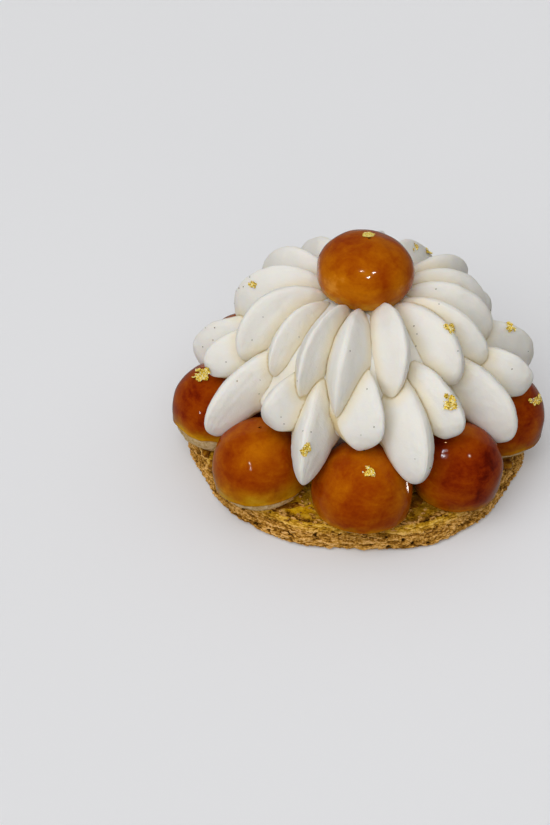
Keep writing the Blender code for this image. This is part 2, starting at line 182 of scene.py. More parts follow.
def noise(p, seed=0):
    """Smooth gradient noise, about -1..1, for an (n, 3) array of cells."""
    p = np.asarray(p, float)
    i = np.floor(p).astype(np.int64)
    f = p - i
    w = f * f * f * (f * (f * 6 - 15) + 10)
    out = np.zeros(len(p))
    for dx in (0, 1):
        for dy in (0, 1):
            for dz in (0, 1):
                h = _hash(i[:, 0] + dx, i[:, 1] + dy, i[:, 2] + dz, seed)
                z = (h & 0xFFFF) / 32767.5 - 1.0
                a = (h >> 16) / 65535.0 * 2 * math.pi
                q = np.sqrt(np.clip(1 - z * z, 0, 1))
                dot = (q * np.cos(a) * (f[:, 0] - dx) + q * np.sin(a) * (f[:, 1] - dy)
                       + z * (f[:, 2] - dz))
                wt = (np.abs(1 - dx - w[:, 0]) * np.abs(1 - dy - w[:, 1])
                      * np.abs(1 - dz - w[:, 2]))
                out += wt * dot
    return out * 1.6


def fbm(p, seed=0, octaves=3, gain=0.5):
    p = np.asarray(p, float)
    out, amp = 0.0, 1.0
    for k in range(octaves):
        out = out + amp * noise(p * 2.0 ** k + 17.3 * k, seed + 31 * k)
        amp *= gain
    return out


def smooth(x, a, b):
    t = np.clip((x - a) / (b - a), 0, 1)
    return t * t * (3 - 2 * t)


# --------------------------------------------------------------- mesh helpers
def add_mesh(name, verts, faces, mats, origin=(0.0, 0.0, 0.0), slots=None,
             attributes=None, smooth_angle=None):
    """Object with its mesh around origin; verts and origin in mm."""
    origin = np.asarray(origin, float)
    mesh = bpy.data.meshes.new(name)
    v = (np.asarray(verts, float) - origin) * MM
    mesh.from_pydata(v.tolist(), [], [list(map(int, f)) for f in faces])
    for m in mats:
        mesh.materials.append(m)
    if slots is not None:
        mesh.polygons.foreach_set("material_index", np.asarray(slots, np.int32))
    for key, values in (attributes or {}).items():
        a = mesh.attributes.new(key, "FLOAT", "POINT")
        a.data.foreach_set("value", np.asarray(values, np.float32))
    mesh.update()
    if smooth_angle is None:
        mesh.shade_smooth()
    elif smooth_angle > 0:
        mesh.shade_smooth()
        mesh.set_sharp_from_angle(angle=math.radians(smooth_angle))
    ob = bpy.data.objects.new(name, mesh)
    ob.location = Vector(origin * MM)
    bpy.context.scene.collection.objects.link(ob)
    return ob


def ring_faces(rows, cols, start=0):
    """Quads between rows of a closed loop of cols points."""
    out = []
    for i in range(rows - 1):
        a, b = start + i * cols, start + (i + 1) * cols
        for j in range(cols):
            k = (j + 1) % cols
            out.append((a + j, a + k, b + k, b + j))
    return out


def outward(verts, faces):
    """Faces in the order that gives the closed mesh outward normals."""
    v = np.asarray(verts, float)
    v = v - v.mean(0)
    t = np.array([(f[0], f[k], f[k + 1]) for f in faces for k in range(1, len(f) - 1)])
    vol = (v[t[:, 0]] * np.cross(v[t[:, 1]], v[t[:, 2]])).sum()
    return faces if vol > 0 else [tuple(reversed(f)) for f in faces]


def done(ob, nodes=()):
    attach(ob, "root")
    if nodes:
        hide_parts(*nodes)
    return ob


# ------------------------------------------------------------------ materials
class Nodes:
    """Short names for building a node tree."""

    def __init__(self, name):
        self.mat = bpy.data.materials.new(name)
        self.mat.use_nodes = True
        self.tree = self.mat.node_tree
        self.bsdf = self.tree.nodes["Principled BSDF"]
        self.coords = None

    def new(self, kind, **props):
        n = self.tree.nodes.new(kind)
        for k, v in props.items():
            setattr(n, k, v)
        return n

    def link(self, a, b):
        self.tree.links.new(a, b)
        return b

    def object(self):
        if self.coords is None:
            self.coords = self.new("ShaderNodeTexCoord")
        return self.coords.outputs["Object"]

    def mapping(self, vec, scale=(1, 1, 1), location=(0, 0, 0)):
        n = self.new("ShaderNodeMapping")
        n.inputs["Scale"].default_value = scale
        n.inputs["Location"].default_value = location
        self.link(vec, n.inputs["Vector"])
        return n.outputs["Vector"]

    def noise(self, size_mm, detail=2.0, rough=0.5, distortion=0.0, vec=None):
        n = self.new("ShaderNodeTexNoise")
        n.inputs["Scale"].default_value = 1000.0 / size_mm
        n.inputs["Detail"].default_value = detail
        n.inputs["Roughness"].default_value = rough
        n.inputs["Distortion"].default_value = distortion
        self.link(vec if vec is not None else self.object(), n.inputs["Vector"])
        return n.outputs["Fac"]

    def voronoi(self, size_mm, feature="F1", vec=None, randomness=1.0):
        n = self.new("ShaderNodeTexVoronoi", feature=feature)
        n.inputs["Scale"].default_value = 1000.0 / size_mm
        n.inputs["Randomness"].default_value = randomness
        self.link(vec if vec is not None else self.object(), n.inputs["Vector"])
        return n.outputs["Distance"]

    def attr(self, name):
        n = self.new("ShaderNodeAttribute", attribute_name=name)
        return n.outputs["Fac"]

    def math(self, op, a, b=0.0, c=0.0, clamp=False):
        n = self.new("ShaderNodeMath", operation=op, use_clamp=clamp)
        for i, v in enumerate((a, b, c)):
            if isinstance(v, (int, float)):
                n.inputs[i].default_value = v
            else:
                self.link(v, n.inputs[i])
        return n.outputs["Value"]

    def remap(self, v, a, b, lo=0.0, hi=1.0, smoothstep=True):
        n = self.new("ShaderNodeMapRange")
        n.interpolation_type = "SMOOTHSTEP" if smoothstep else "LINEAR"
        for key, val in (("From Min", a), ("From Max", b), ("To Min", lo), ("To Max", hi)):
            n.inputs[key].default_value = val
        self.link(v, n.inputs["Value"])
        return n.outputs["Result"]

    def ramp(self, fac, stops):
        n = self.new("ShaderNodeValToRGB")
        e = n.color_ramp.elements
        e[0].position, e[0].color = stops[0][0], (*stops[0][1], 1)
        e[1].position, e[1].color = stops[-1][0], (*stops[-1][1], 1)
        for pos, col in stops[1:-1]:
            x = e.new(pos)
            x.color = (*col, 1)
        self.link(fac, n.inputs["Fac"])
        return n.outputs["Color"]

    def mix(self, fac, a, b, blend="MIX"):
        n = self.new("ShaderNodeMix", data_type="RGBA", blend_type=blend)
        for i, v in ((0, fac), (6, a), (7, b)):
            if isinstance(v, (int, float)):
                n.inputs[i].default_value = v
            elif isinstance(v, tuple):
                n.inputs[i].default_value = (*v, 1)
            else:
                self.link(v, n.inputs[i])
        return n.outputs[2]

    def bump(self, height, distance_mm, strength=1.0, normal=None):
        n = self.new("ShaderNodeBump")
        n.inputs["Strength"].default_value = strength
        n.inputs["Distance"].default_value = distance_mm * MM
        self.link(height, n.inputs["Height"])
        if normal is not None:
            self.link(normal, n.inputs["Normal"])
        return n.outputs["Normal"]

    def set(self, **kw):
        for k, v in kw.items():
            s = self.bsdf.inputs[k.replace("_", " ")]
            if isinstance(v, tuple) and len(v) == 3 and len(s.default_value) == 4:
                v = (*v, 1)
            s.default_value = v

    def wire(self, **kw):
        for k, v in kw.items():
            self.link(v, self.bsdf.inputs[k.replace("_", " ")])


def cream_material():
    n = Nodes("whipped_cream")
    n.set(Roughness=0.58, Specular_IOR_Level=0.22, Subsurface_Weight=0.5,
          Subsurface_Radius=(1.0, 0.78, 0.52), Subsurface_Scale=0.0018)
    big = n.noise(9.0, 2.0, 0.5)
    fine = n.noise(1.1, 3.0, 0.6)
    tone = n.math("ADD", n.math("MULTIPLY", big, 0.7), n.math("MULTIPLY", fine, 0.3))
    col = n.ramp(tone, ((0.3, (0.806, 0.786, 0.738)), (0.7, (0.826, 0.808, 0.768))))
    # painted warm light caught between two petals, and painted shade in the dark line where they meet
    col = n.mix(n.remap(n.attr("crease"), 0.10, 0.85, 0.0, 0.70), col, (0.810, 0.738, 0.575))
    col = n.mix(n.remap(n.attr("crease"), 0.86, 1.0), col, (0.660, 0.540, 0.320))
    n.wire(Base_Color=col)
    rough = n.remap(n.noise(2.5, 2.0), 0.3, 0.7, 0.52, 0.66)
    n.wire(Roughness=rough)
    b1 = n.bump(n.noise(0.9, 3.0, 0.6), 0.12, 0.8)
    b1 = n.bump(n.noise(2.6, 2.0, 0.5), 0.20, 0.6, b1)
    pores = n.remap(n.voronoi(3.1), 0.0, 0.14, 0.0, 1.0)
    b2 = n.bump(pores, 0.10, 0.8, b1)
    n.wire(Normal=b2)
    return n.mat


def caramel_material():
    n = Nodes("caramel")
    n.set(Roughness=0.07, Specular_IOR_Level=0.11, Specular_Tint=(1.0, 0.55, 0.15), IOR=1.5)
    blot = n.noise(9.0, 3.0, 0.5, 0.6)
    flat = n.mapping(n.object(), scale=(0.55, 0.55, 1.7))
    streak = n.noise(5.0, 4.0, 0.6, 0.8, vec=flat)
    fine = n.noise(1.4, 3.0, 0.6, 0.5)
    tone = n.math("ADD", n.attr("tone"), n.math("MULTIPLY_ADD", blot, 0.66, -0.33))
    tone = n.math("ADD", tone, n.math("MULTIPLY_ADD", streak, 0.36, -0.18))
    tone = n.math("ADD", tone, n.math("MULTIPLY_ADD", fine, 0.26, -0.13), clamp=True)
    col = n.ramp(tone, ((0.0, (0.085, 0.0050, 0.0008)), (0.10, (0.120, 0.0065, 0.0009)),
                        (0.22, (0.205, 0.018, 0.001)),
                        (0.42, (0.300, 0.046, 0.001)), (0.60, (0.382, 0.085, 0.0012)),
                        (0.80, (0.485, 0.138, 0.002)), (1.0, (0.640, 0.235, 0.020))))
    olive = n.ramp(tone, ((0.10, (0.150, 0.036, 0.0006)), (0.38, (0.300, 0.105, 0.0007)),
                          (0.62, (0.450, 0.190, 0.001)), (0.95, (0.620, 0.350, 0.020))))
    col = n.mix(n.attr("amber"), col, olive)
    n.wire(Base_Color=col)
    b = n.bump(n.noise(5.0, 2.0, 0.5), 0.10, 0.6)
    b = n.bump(n.noise(1.6, 1.0, 0.5), 0.014, 0.8, b)
    n.wire(Normal=b)
    return n.mat


def pool_and_shade_material():
    """Darker caramel that set on the pastry, also standing in for shade between the choux."""
    n = Nodes("caramel_set_and_shade")
    n.set(Roughness=0.12, Specular_IOR_Level=0.3, Specular_Tint=(1.0, 0.6, 0.2))
    t = n.noise(3.0, 3.0, 0.6, 0.5)
    col = n.ramp(t, ((0.30, (0.090, 0.024, 0.002)), (0.50, (0.250, 0.090, 0.006)),
                     (0.70, (0.460, 0.220, 0.016))))
    n.wire(Base_Color=col)
    n.wire(Normal=n.bump(t, 0.25, 0.8))
    return n.mat


def skin_material():
    """Baked choux skin that shows under the caramel."""
    n = Nodes("choux_skin")
    n.set(Roughness=0.7, Specular_IOR_Level=0.3)
    a = n.noise(2.2, 4.0, 0.62, 0.6)
    b = n.noise(0.6, 2.0, 0.6)
    t = n.math("ADD", n.math("MULTIPLY", a, 0.75), n.math("MULTIPLY", b, 0.25))
    col = n.ramp(t, ((0.32, (0.36, 0.18, 0.050)), (0.47, (0.64, 0.43, 0.19)),
                     (0.62, (0.80, 0.62, 0.37)), (0.78, (0.87, 0.75, 0.54))))
    n.wire(Base_Color=col)
    pits = n.remap(n.voronoi(1.5), 0.0, 0.35, 0.0, 1.0)
    nb = n.bump(a, 0.45, 1.0)
    n.wire(Normal=n.bump(pits, 0.28, 1.0, nb))
    return n.mat


def pastry_material():
    n = Nodes("puff_pastry")
    n.set(Roughness=0.68, Specular_IOR_Level=0.25, Specular_Tint=(1.0, 0.8, 0.4))
    a = n.noise(3.6, 4.0, 0.62, 0.6)
    b = n.noise(0.8, 3.0, 0.65, 0.5)
    layered = n.mapping(n.object(), scale=(0.30, 0.30, 3.4))
    c = n.noise(0.9, 3.0, 0.6, 0.3, vec=layered)
    t = n.math("ADD", n.math("MULTIPLY", a, 0.38), n.math("MULTIPLY", b, 0.44))
    t = n.math("ADD", t, n.math("MULTIPLY", c, 0.74))
    # the attribute read here is painted light on raised ledges and plates and painted shade in grooves, holes, pores
    # and under the disc; on the flakes it is a random tone
    t = n.math("ADD", t, n.math("MULTIPLY_ADD", n.attr("relief"), 0.62, -0.64))
    t = n.math("MULTIPLY_ADD", t, 1.55, -0.265, clamp=True)
    col = n.ramp(t, ((0.14, (0.022, 0.008, 0.001)), (0.32, (0.105, 0.039, 0.003)),
                     (0.50, (0.300, 0.126, 0.014)), (0.64, (0.530, 0.262, 0.040)),
                     (0.86, (0.850, 0.500, 0.175))))
    golden = n.ramp(t, ((0.12, (0.240, 0.088, 0.001)), (0.32, (0.640, 0.315, 0.003)),
                        (0.54, (0.840, 0.475, 0.010)), (0.84, (0.930, 0.650, 0.040))))
    col = n.mix(n.attr("glazed"), col, golden)
    n.wire(Base_Color=col)
    rough = n.remap(n.attr("glazed"), 0.0, 1.0, 0.75, 0.28)
    n.wire(Roughness=rough)
    pits = n.remap(n.voronoi(1.1), 0.0, 0.3, 0.0, 1.0)
    nb = n.bump(b, 0.30, 0.8)
    nb = n.bump(c, 0.30, 0.8, nb)
    n.wire(Normal=n.bump(pits, 0.12, 0.6, nb))
    return n.mat


def gold_material():
    n = Nodes("gold_leaf")
    n.set(Metallic=0.1, Specular_IOR_Level=0.8, Specular_Tint=(1.0, 0.9, 0.5))
    # fold shading from the scrap's crumple: painted shade in the hollows, near-white painted highlights on the
    # raised folds
    t = n.math("ADD", n.attr("fold"), n.math("MULTIPLY_ADD", n.noise(0.45, 2.0, 0.6), 1.1, -0.52),
               clamp=True)
    col = n.ramp(t, ((0.10, (0.110, 0.070, 0.002)), (0.28, (0.420, 0.260, 0.010)),
                     (0.44, (0.900, 0.620, 0.050)), (0.66, (1.0, 0.84, 0.22)),
                     (0.86, (1.0, 1.0, 0.82))))
    n.wire(Base_Color=col)
    n.wire(Roughness=n.remap(n.noise(0.5, 1.0), 0.3, 0.7, 0.16, 0.34))
    n.wire(Normal=n.bump(n.noise(0.35, 2.0, 0.6), 0.05, 0.9))
    return n.mat


def vanilla_material():
    n = Nodes("vanilla_seed")
    n.set(Roughness=0.5)
    col = n.ramp(n.noise(0.3, 1.0), ((0.3, (0.09, 0.065, 0.045)), (0.7, (0.20, 0.155, 0.11))))
    n.wire(Base_Color=col)
    n.wire(Normal=n.bump(n.noise(0.12, 1.0), 0.02, 0.6))
    return n.mat


def floor_material():
    n = Nodes("floor")
    n.set(Roughness=0.6, Specular_IOR_Level=0.2)
    col = n.ramp(n.noise(400.0, 2.0), ((0.3, (0.862, 0.867, 0.894)), (0.7, (0.870, 0.875, 0.902))))
    n.wire(Base_Color=col)
    return n.mat


# --------------------------------------------------------------------- petals
def swell(s, peak, start, blunt, share=0.0):
    up = np.sin(np.pi / 2 * np.clip(s / peak, 0, 1) ** start)
    x = np.clip((s - peak) / (1 - peak), 0, 1)
    end = np.clip(1 - x ** blunt, 0, 1) ** (1 / blunt)
    return np.where(s < peak, share + (1 - share) * up, end)


def petal_axis(spec, root):
    """Points, tangents, normals and sides of the base line, as functions of s."""
    azimuth, turn, lean, sway, reach, tip_z, arch, half, crest, lift = spec
    a1 = math.radians(azimuth)
    a0 = math.radians(azimuth + turn)
    p0 = np.array([root[0] * math.cos(a0), root[0] * math.sin(a0), root[1] + lift])
    p2 = np.array([reach * math.cos(a1), reach * math.sin(a1), tip_z])
    t = (p2 - p0) / np.linalg.norm(p2 - p0)
    out = np.array([math.cos(a1), math.sin(a1), 0.0])
    up = np.array([0.0, 0.0, 1.0])
    side = np.cross(out * 0.6 + up * 0.8, t)
    side /= np.linalg.norm(side)
    nrm = np.cross(t, side)
    if nrm @ (out * 0.5 + up) < 0:
        nrm = -nrm
    if side @ np.array([-math.sin(a1), math.cos(a1), 0.0]) < 0:
        side = -side
    p1 = (p0 + p2) / 2 + nrm * 2 * arch + side * 2 * sway

    def at(s):
        c = s[:, None]
        base = p0 * (1 - c) ** 2 + 2 * p1 * c * (1 - c) + p2 * c ** 2
        tan = 2 * (p1 - p0) * (1 - c) + 2 * (p2 - p1) * c
        tan /= np.linalg.norm(tan, axis=1)[:, None]
        n = nrm[None] - tan * (tan @ nrm)[:, None]
        n /= np.linalg.norm(n, axis=1)[:, None]
        sd = np.cross(n, tan)
        if sd[len(sd) // 2] @ side < 0:
            sd = -sd
        ca, sa = math.cos(math.radians(lean)), math.sin(math.radians(lean))
        return base, tan, ca * n + sa * sd, ca * sd - sa * n

    return at


STATIONS, TOP_PTS, UNDER_PTS = 58, 45, 11


def petal_mesh(spec, root, share, seed, blunt, section):
    half, crest = spec[7], spec[8]
    k = int(STATIONS * 0.5)
    s = np.concatenate([
        np.linspace(0, WIDE_AT, k + 1)[:-1],
        WIDE_AT + (1 - WIDE_AT) * np.sin(np.linspace(0, np.pi / 2, STATIONS - k))])
    base, tan, nrm, side = petal_axis(spec, root)(s)
    w = half * swell(s, WIDE_AT, 0.9, blunt, share[0])
    h = crest * swell(s, HIGH_AT, 0.8, blunt + 0.2, share[1])
    foot = w + SKIRT * np.clip(1 - (s / 0.6) ** 3, 0, 1)
    d = (PETAL_DEPTH * np.clip(1 - (s / 0.95) ** 3, 0, 1) + 0.35 * half) \
        * swell(s, WIDE_AT, 0.9, blunt, 0.3)

    x = np.linspace(-1, 1, TOP_PTS)
    t = np.sign(x) * np.abs(x) ** 1.35
    power, soft = section
    a = np.sqrt(t ** 2 + soft ** 2) - soft
    a = np.clip(1 - a / (math.sqrt(1 + soft ** 2) - soft), 0, 1)
    arch = (1 - CREST_CURL) * a ** power + CREST_CURL * a ** 2.6
    p = np.linspace(0, np.pi, UNDER_PTS + 2)[1:-1]
    keel_u = np.sign(np.cos(p)) * np.abs(np.cos(p)) ** 0.6
    keel_v = -np.sin(p) ** 0.8

    # the crest wavers a little and its height dips here and there
    wob = 0.35 * noise(np.c_[s * 3.1, np.full_like(s, seed * 1.7), 0 * s], seed)
    dip = 0.30 * noise(np.c_[s * 4.3, np.full_like(s, seed * 2.9 + 5), 0 * s], seed + 5)
    rows, crease = [], []
    for i in range(len(s)):
        sway = wob[i] * arch ** 2
        top = base[i] + np.outer(t * w[i] + sway, side[i]) \
            + np.outer(arch * (h[i] + dip[i]), nrm[i])
        low = base[i] + np.outer(keel_u * foot[i], side[i]) \
            + np.outer(keel_v * d[i], nrm[i])
        rows.append(np.vstack([top, low]))
        # painted shade: crease shading is 0 on the top points and 1 on the underside
        crease.append(np.concatenate([np.zeros(TOP_PTS), np.ones(len(p))]))
    cols = TOP_PTS + UNDER_PTS
    v = np.vstack(rows)
    crease = np.concatenate(crease)

    # unevenness of piped cream: soft swelling, faint drag lines, small grain
    c = v.mean(0)
    ss = np.repeat(s, cols)
    tt = np.tile(np.concatenate([t, keel_u]), len(s))
    topmask = np.tile(np.concatenate([np.ones(TOP_PTS), np.zeros(UNDER_PTS)]), len(s))
    grad = normals_of_rows(v, len(s), cols)
    amt = 0.26 * fbm(v / 6.0 + seed * 3.1, seed, 3) + 0.10 * noise(v / 1.9, seed + 9)
    drag = 0.12 * noise(np.c_[tt * 9.0 + seed, ss * 0.8, 0 * ss], seed + 3)
    v = v + grad * ((amt + drag) * topmask * smooth(1 - ss, 0.0, 0.08))[:, None]

    faces = ring_faces(len(s) - 1, cols)
    last = (len(s) - 2) * cols
    tip = len(v) - cols
    v = np.vstack([v[:tip], v[tip:].mean(0)[None]])
    crease = np.concatenate([crease[:tip], [0.5]])
    for j in range(cols):
        faces.append((last + j, last + (j + 1) % cols, tip))
    faces.append(tuple(range(cols - 1, -1, -1)))
    return v, outward(v, faces), crease


def normals_of_rows(v, rows, cols):
    g = v.reshape(rows, cols, 3)
    du = np.roll(g, -1, 1) - np.roll(g, 1, 1)
    dv = np.empty_like(g)
    dv[1:-1] = g[2:] - g[:-2]
    dv[0], dv[-1] = g[1] - g[0], g[-1] - g[-2]
    n = np.cross(du, dv)
    n /= np.linalg.norm(n, axis=2)[..., None] + 1e-9
    mid = g.mean(1)[:, None]
    flip = np.sign(((g - mid) * n).sum(2).mean())
    return (n * flip).reshape(-1, 3)


def build_petals(mat):
    made = []
    for tier, root, share, rows in (("upper", UPPER_ROOT, UPPER_SHARE, UPPER_PETALS),
                                    ("lower", LOWER_ROOT, LOWER_SHARE, LOWER_PETALS)):
        for i, spec in enumerate(rows):
            seed = i + (0 if tier == "upper" else 40)
            v, f, crease = petal_mesh(spec, root, share, seed,
                                      POINTED.get((tier, i + 1), BLUNT),
                                      RIDGED.get((tier, i + 1), SOFT))
            name = f"petal_{tier}_{i + 1:02d}"
            ob = add_mesh("cream_" + name, v, f, [mat], v[:8].mean(0),
                          attributes={"crease": crease})
            done(ob, [name])
            made.append(ob)
    return made


def mark_creases(petals, mound):
    """Crease shading: 1 where a petal meets its neighbours, 0 out in the open; painted shade in the creases."""
    pieces = petals + [mound]
    trees, boxes, points = [], [], []
    for ob in pieces:
        trees.append(surface([ob]))
        co = world_points(ob)
        points.append(co)
        boxes.append((co.min(0), co.max(0)))
    reach = 7.0
    for i, ob in enumerate(petals):
        a = ob.data.attributes["crease"]
        old = np.empty(len(points[i]), np.float32)
        a.data.foreach_get("value", old)
        near = np.full(len(old), reach)
        for j in range(len(pieces)):
            if j == i or (boxes[j][0] > boxes[i][1] + reach).any() \
                    or (boxes[j][1] < boxes[i][0] - reach).any():
                continue
            inside = ((points[i] > boxes[j][0] - reach) & (points[i] < boxes[j][1] + reach)).all(1)
            for k in np.nonzero(inside)[0]:
                hit = trees[j].find_nearest(Vector(points[i][k]), near[k])
                if hit[3] is not None:
                    near[k] = min(near[k], hit[3])
        a.data.foreach_set("value", np.maximum(old, 1 - near / reach).astype(np.float32))


# ----------------------------------------------------------------------- mound
def build_mound(mat):
    pts = []
    for (r0, z0), (r1, z1) in zip(MOUND[:-1], MOUND[1:]):
        n = max(2, int(math.hypot(r1 - r0, z1 - z0) / 1.6))
        for k in range(n):
            f = k / n
            pts.append((r0 + (r1 - r0) * f, z0 + (z1 - z0) * f))
    pts.append(MOUND[-1])
    pts = np.array(pts)
    for _ in range(6):
        q = pts.copy()
        q[1:-1] = (pts[:-2] + 2 * pts[1:-1] + pts[2:]) / 4
        pts = q
    cols = 180
    th = np.linspace(0, 2 * math.pi, cols, endpoint=False)
    body = pts[1:-1]
    v = np.array([[r * math.cos(t), r * math.sin(t), z] for r, z in body for t in th])
    rad = v.copy()
    rad[:, 2] = 0
    rad /= np.linalg.norm(rad, axis=1)[:, None] + 1e-9
    amt = 0.5 * fbm(v / 9.0, 71, 3)
    v = v + rad * amt[:, None]
    v[:, 2] = np.maximum(v[:, 2], 9.1)
    faces = ring_faces(len(body), cols)
    top, bottom = len(v), len(v) + 1
    v = np.vstack([v, [0, 0, pts[0][1]], [0, 0, pts[-1][1]]])
    last = (len(body) - 1) * cols
    for j in range(cols):
        k = (j + 1) % cols
        faces.append((k, j, top))
        faces.append((last + j, last + k, bottom))
    # painted shade: crease shading on the mound rises from 0.15 above 76 mm to 0.47 below 62 mm, down between the
    # petals
    ob = add_mesh("cream_mound_piped", v, outward(v, faces), [mat],
                  attributes={"crease": 0.15 + 0.32 * smooth(-v[:, 2], -76.0, -62.0)})
    return done(ob, ["cream_mound"])


# ----------------------------------------------------------------------- choux
def choux_point(spec, polar, inset=0.0):
    """Radius and height above the foot at polar angle (0 = top)."""
    _, _, radius, rise, foot, share = spec
    a, up, low = radius - inset, rise - inset, foot - inset
    polar = np.asarray(polar, float)
    x = np.clip((polar - math.pi / 2) / (math.pi / 2 * 0.86), 0, 1)
    r_up, z_up = a * np.sin(polar), foot + up * np.cos(polar)
    r_lo = a * (share + (1 - share) * np.sqrt(np.clip(1 - x ** 2.2, 0, 1)))
    z_lo = foot - low * x
    shrink = np.clip((math.pi - polar) / (math.pi / 2 * 0.14), 0, 1)
    r_lo = np.where(x >= 1, r_lo * shrink, r_lo)
    above = polar <= math.pi / 2
    return np.where(above, r_up, r_lo), np.where(above, z_up, z_lo)


def choux_frame(spec, foot_z, tilt):
    az = math.radians(spec[0])
    origin = np.array([spec[1] * math.cos(az), spec[1] * math.sin(az), foot_z])
    t = math.radians(tilt)
    rot = np.array([[math.cos(t), 0, math.sin(t)], [0, 1, 0], [-math.sin(t), 0, math.cos(t)]])
    return origin, rot


def lumps(unit, seed, amp):
    """Soft unevenness of a baked ball, by direction."""
    return amp * (0.7 * noise(unit * 1.3 + seed, seed) + 0.3 * noise(unit * 2.9 + seed, seed + 7))


def build_choux(index, name, node, spec, foot_z, tilt, edge, tones, skin, caramel,
                seed, lump=0.55):
    """Body of baked choux and a caramel shell dipped over it.

    edge: height of the shell's rim above the foot, its tilt, the azimuth where
    it is highest, and its raggedness.  tones: base tone and spots."""
    origin, rot = choux_frame(spec, foot_z, tilt)
    cols, rows = 96, 46
    th = np.linspace(0, 2 * math.pi, cols, endpoint=False)

    def shape(polar, inset):
        """polar: (rows, cols)"""
        r, z = choux_point(spec, polar, inset)
        x, y = r * np.cos(th)[None], r * np.sin(th)[None]
        p = np.stack([x, y, z], 2).reshape(-1, 3)
        c = np.array([0, 0, spec[4]])
        d = p - c
        unit = d / (np.linalg.norm(d, axis=1)[:, None] + 1e-9)
        low = smooth(p[:, 2], 0.0, 4.0)
        p = p + unit * (lumps(unit, seed, lump) * low)[:, None]
        return p, unit

    # ---- body
    polar = np.repeat(np.linspace(0.03, math.pi * 0.995, rows)[:, None], cols, 1)
    v, unit = shape(polar, 0.85)
    rough = 0.24 * fbm(v / 1.9 + seed, seed + 3, 3) + 0.30 * fbm(v / 4.5 + seed, seed + 4, 2)
    v = v + unit * (rough * smooth(v[:, 2], 0.3, 2.0))[:, None]
    v[:, 2] = np.maximum(v[:, 2], 0.0)
    faces = ring_faces(rows, cols)
    faces.append(tuple(range(cols)))
    faces.append(tuple(range(len(v) - cols, len(v))[::-1]))
    body_faces = outward(v, faces)
    world = v @ rot.T + origin
    body = add_mesh(name + "_baked", world, body_faces, [skin], origin)
    done(body, [node])

    # ---- caramel shell
    e0, e_tilt, e_az, e_rag = edge
    rim_z = e0 + e_tilt * np.cos(th - math.radians(e_az)) \
        + e_rag * (0.7 * noise(np.c_[np.cos(th) * 1.6, np.sin(th) * 1.6, th * 0 + seed], seed + 20)
                   + 0.5 * noise(np.c_[np.cos(th) * 4.5, np.sin(th) * 4.5, th * 0 + seed], seed + 21))
    foot, low = spec[4], spec[4]
    rim_z = np.clip(rim_z, 0.7, foot - 0.5)
    rim_polar = math.pi / 2 + (foot - rim_z) / low * (math.pi / 2 * 0.86)
    outer_rows = 52
    f = np.linspace(0, 1, outer_rows)
    polar = 0.02 + (rim_polar[None] - 0.02) * f[:, None]
    pv, unit = shape(polar, 0.0)
    # thickness tapers to a rounded lip that stands a little proud
    ff = np.repeat(f, cols)
    lip = 0.30 * np.exp(-((ff - 0.965) / 0.03) ** 2) - 0.75 * smooth(ff, 0.985, 1.0)
    wave = 0.10 * noise(unit * 4.0 + seed, seed + 33)
    low_band = smooth(-(pv[:, 2] - np.tile(rim_z, outer_rows)), -4.5, -0.5)
    wave = wave + (0.55 if index == 0 else 0.20) * low_band * noise(pv / 2.4 + seed, seed + 34)
    pv = pv + unit * (lip + wave * smooth(1 - ff, 0.0, 0.1))[:, None]
    inner_rows = 6
    g = np.linspace(1, 0, inner_rows)
    polar_in = 0.02 + (rim_polar[None] - 0.02) * g[:, None] * 0.995
    iv, _ = shape(polar_in, 1.15)
    v = np.vstack([pv, iv])
    faces = ring_faces(outer_rows + inner_rows, cols)
    faces.append(tuple(range(cols)))
    faces.append(tuple(range(len(v) - cols, len(v))[::-1]))
    shell_faces = outward(v, faces)
    world = v @ rot.T + origin

    base_tone, spots, low_tone, low_width, olive = tones
    tone = np.full(len(world), base_tone)
    over_rim = v[:, 2] - np.tile(rim_z, len(v) // cols)
    wander = 3.2 * noise(v / 7.5 + seed, seed + 40) + 1.2 * noise(v / 2.6 + seed, seed + 41)
    near_rim = smooth(-(over_rim + wander), -low_width, 1.0)
    tone += low_tone * near_rim
    amber = olive * near_rim * (1.0 + 0.5 * noise(v / 5.0 + seed, seed + 50))
    ball = BVHTree.FromPolygons([tuple(p) for p in world], shell_faces)
    for px, py, size, amount in spots:
        if size is None:
            continue
        if isinstance(px, tuple):
            d = np.array(px, float)
            d /= np.linalg.norm(d)
            hit = origin + np.array([0, 0, spec[4]]) + d * spec[2]
        else:
            loc = ball.ray_cast(Vector(EYE), Vector(ray(px, py)))[0]
            if loc is None:
                continue
            hit = np.array(loc)
        dist = np.linalg.norm(world - hit, axis=1)
        tone += amount * np.exp(-(dist / size) ** 2)
    shell = add_mesh(name + "_caramel", world, shell_faces, [caramel], origin,
                     attributes={"tone": tone, "amber": np.clip(amber, 0, 1)})
    done(shell, [node])
    return body, shell


# rim of the caramel: height, tilt, azimuth of its highest point, raggedness
EDGES = {
    1: (8.6, 1.6, -100, 1.6), 2: (3.7, 3.0, -55, 0.6), 3: (4.4, 0.8, -115, 0.5),
    4: (2.2, 1.0, -150, 1.0), 5: (4.6, 1.2, -60, 1.2), 6: (2.6, 1.2, 20, 0.9),
    7: (3.2, 1.5, 100, 0.9), 8: (2.4, 1.0, 160, 0.9), 9: (3.4, 1.5, 130, 0.9),
}
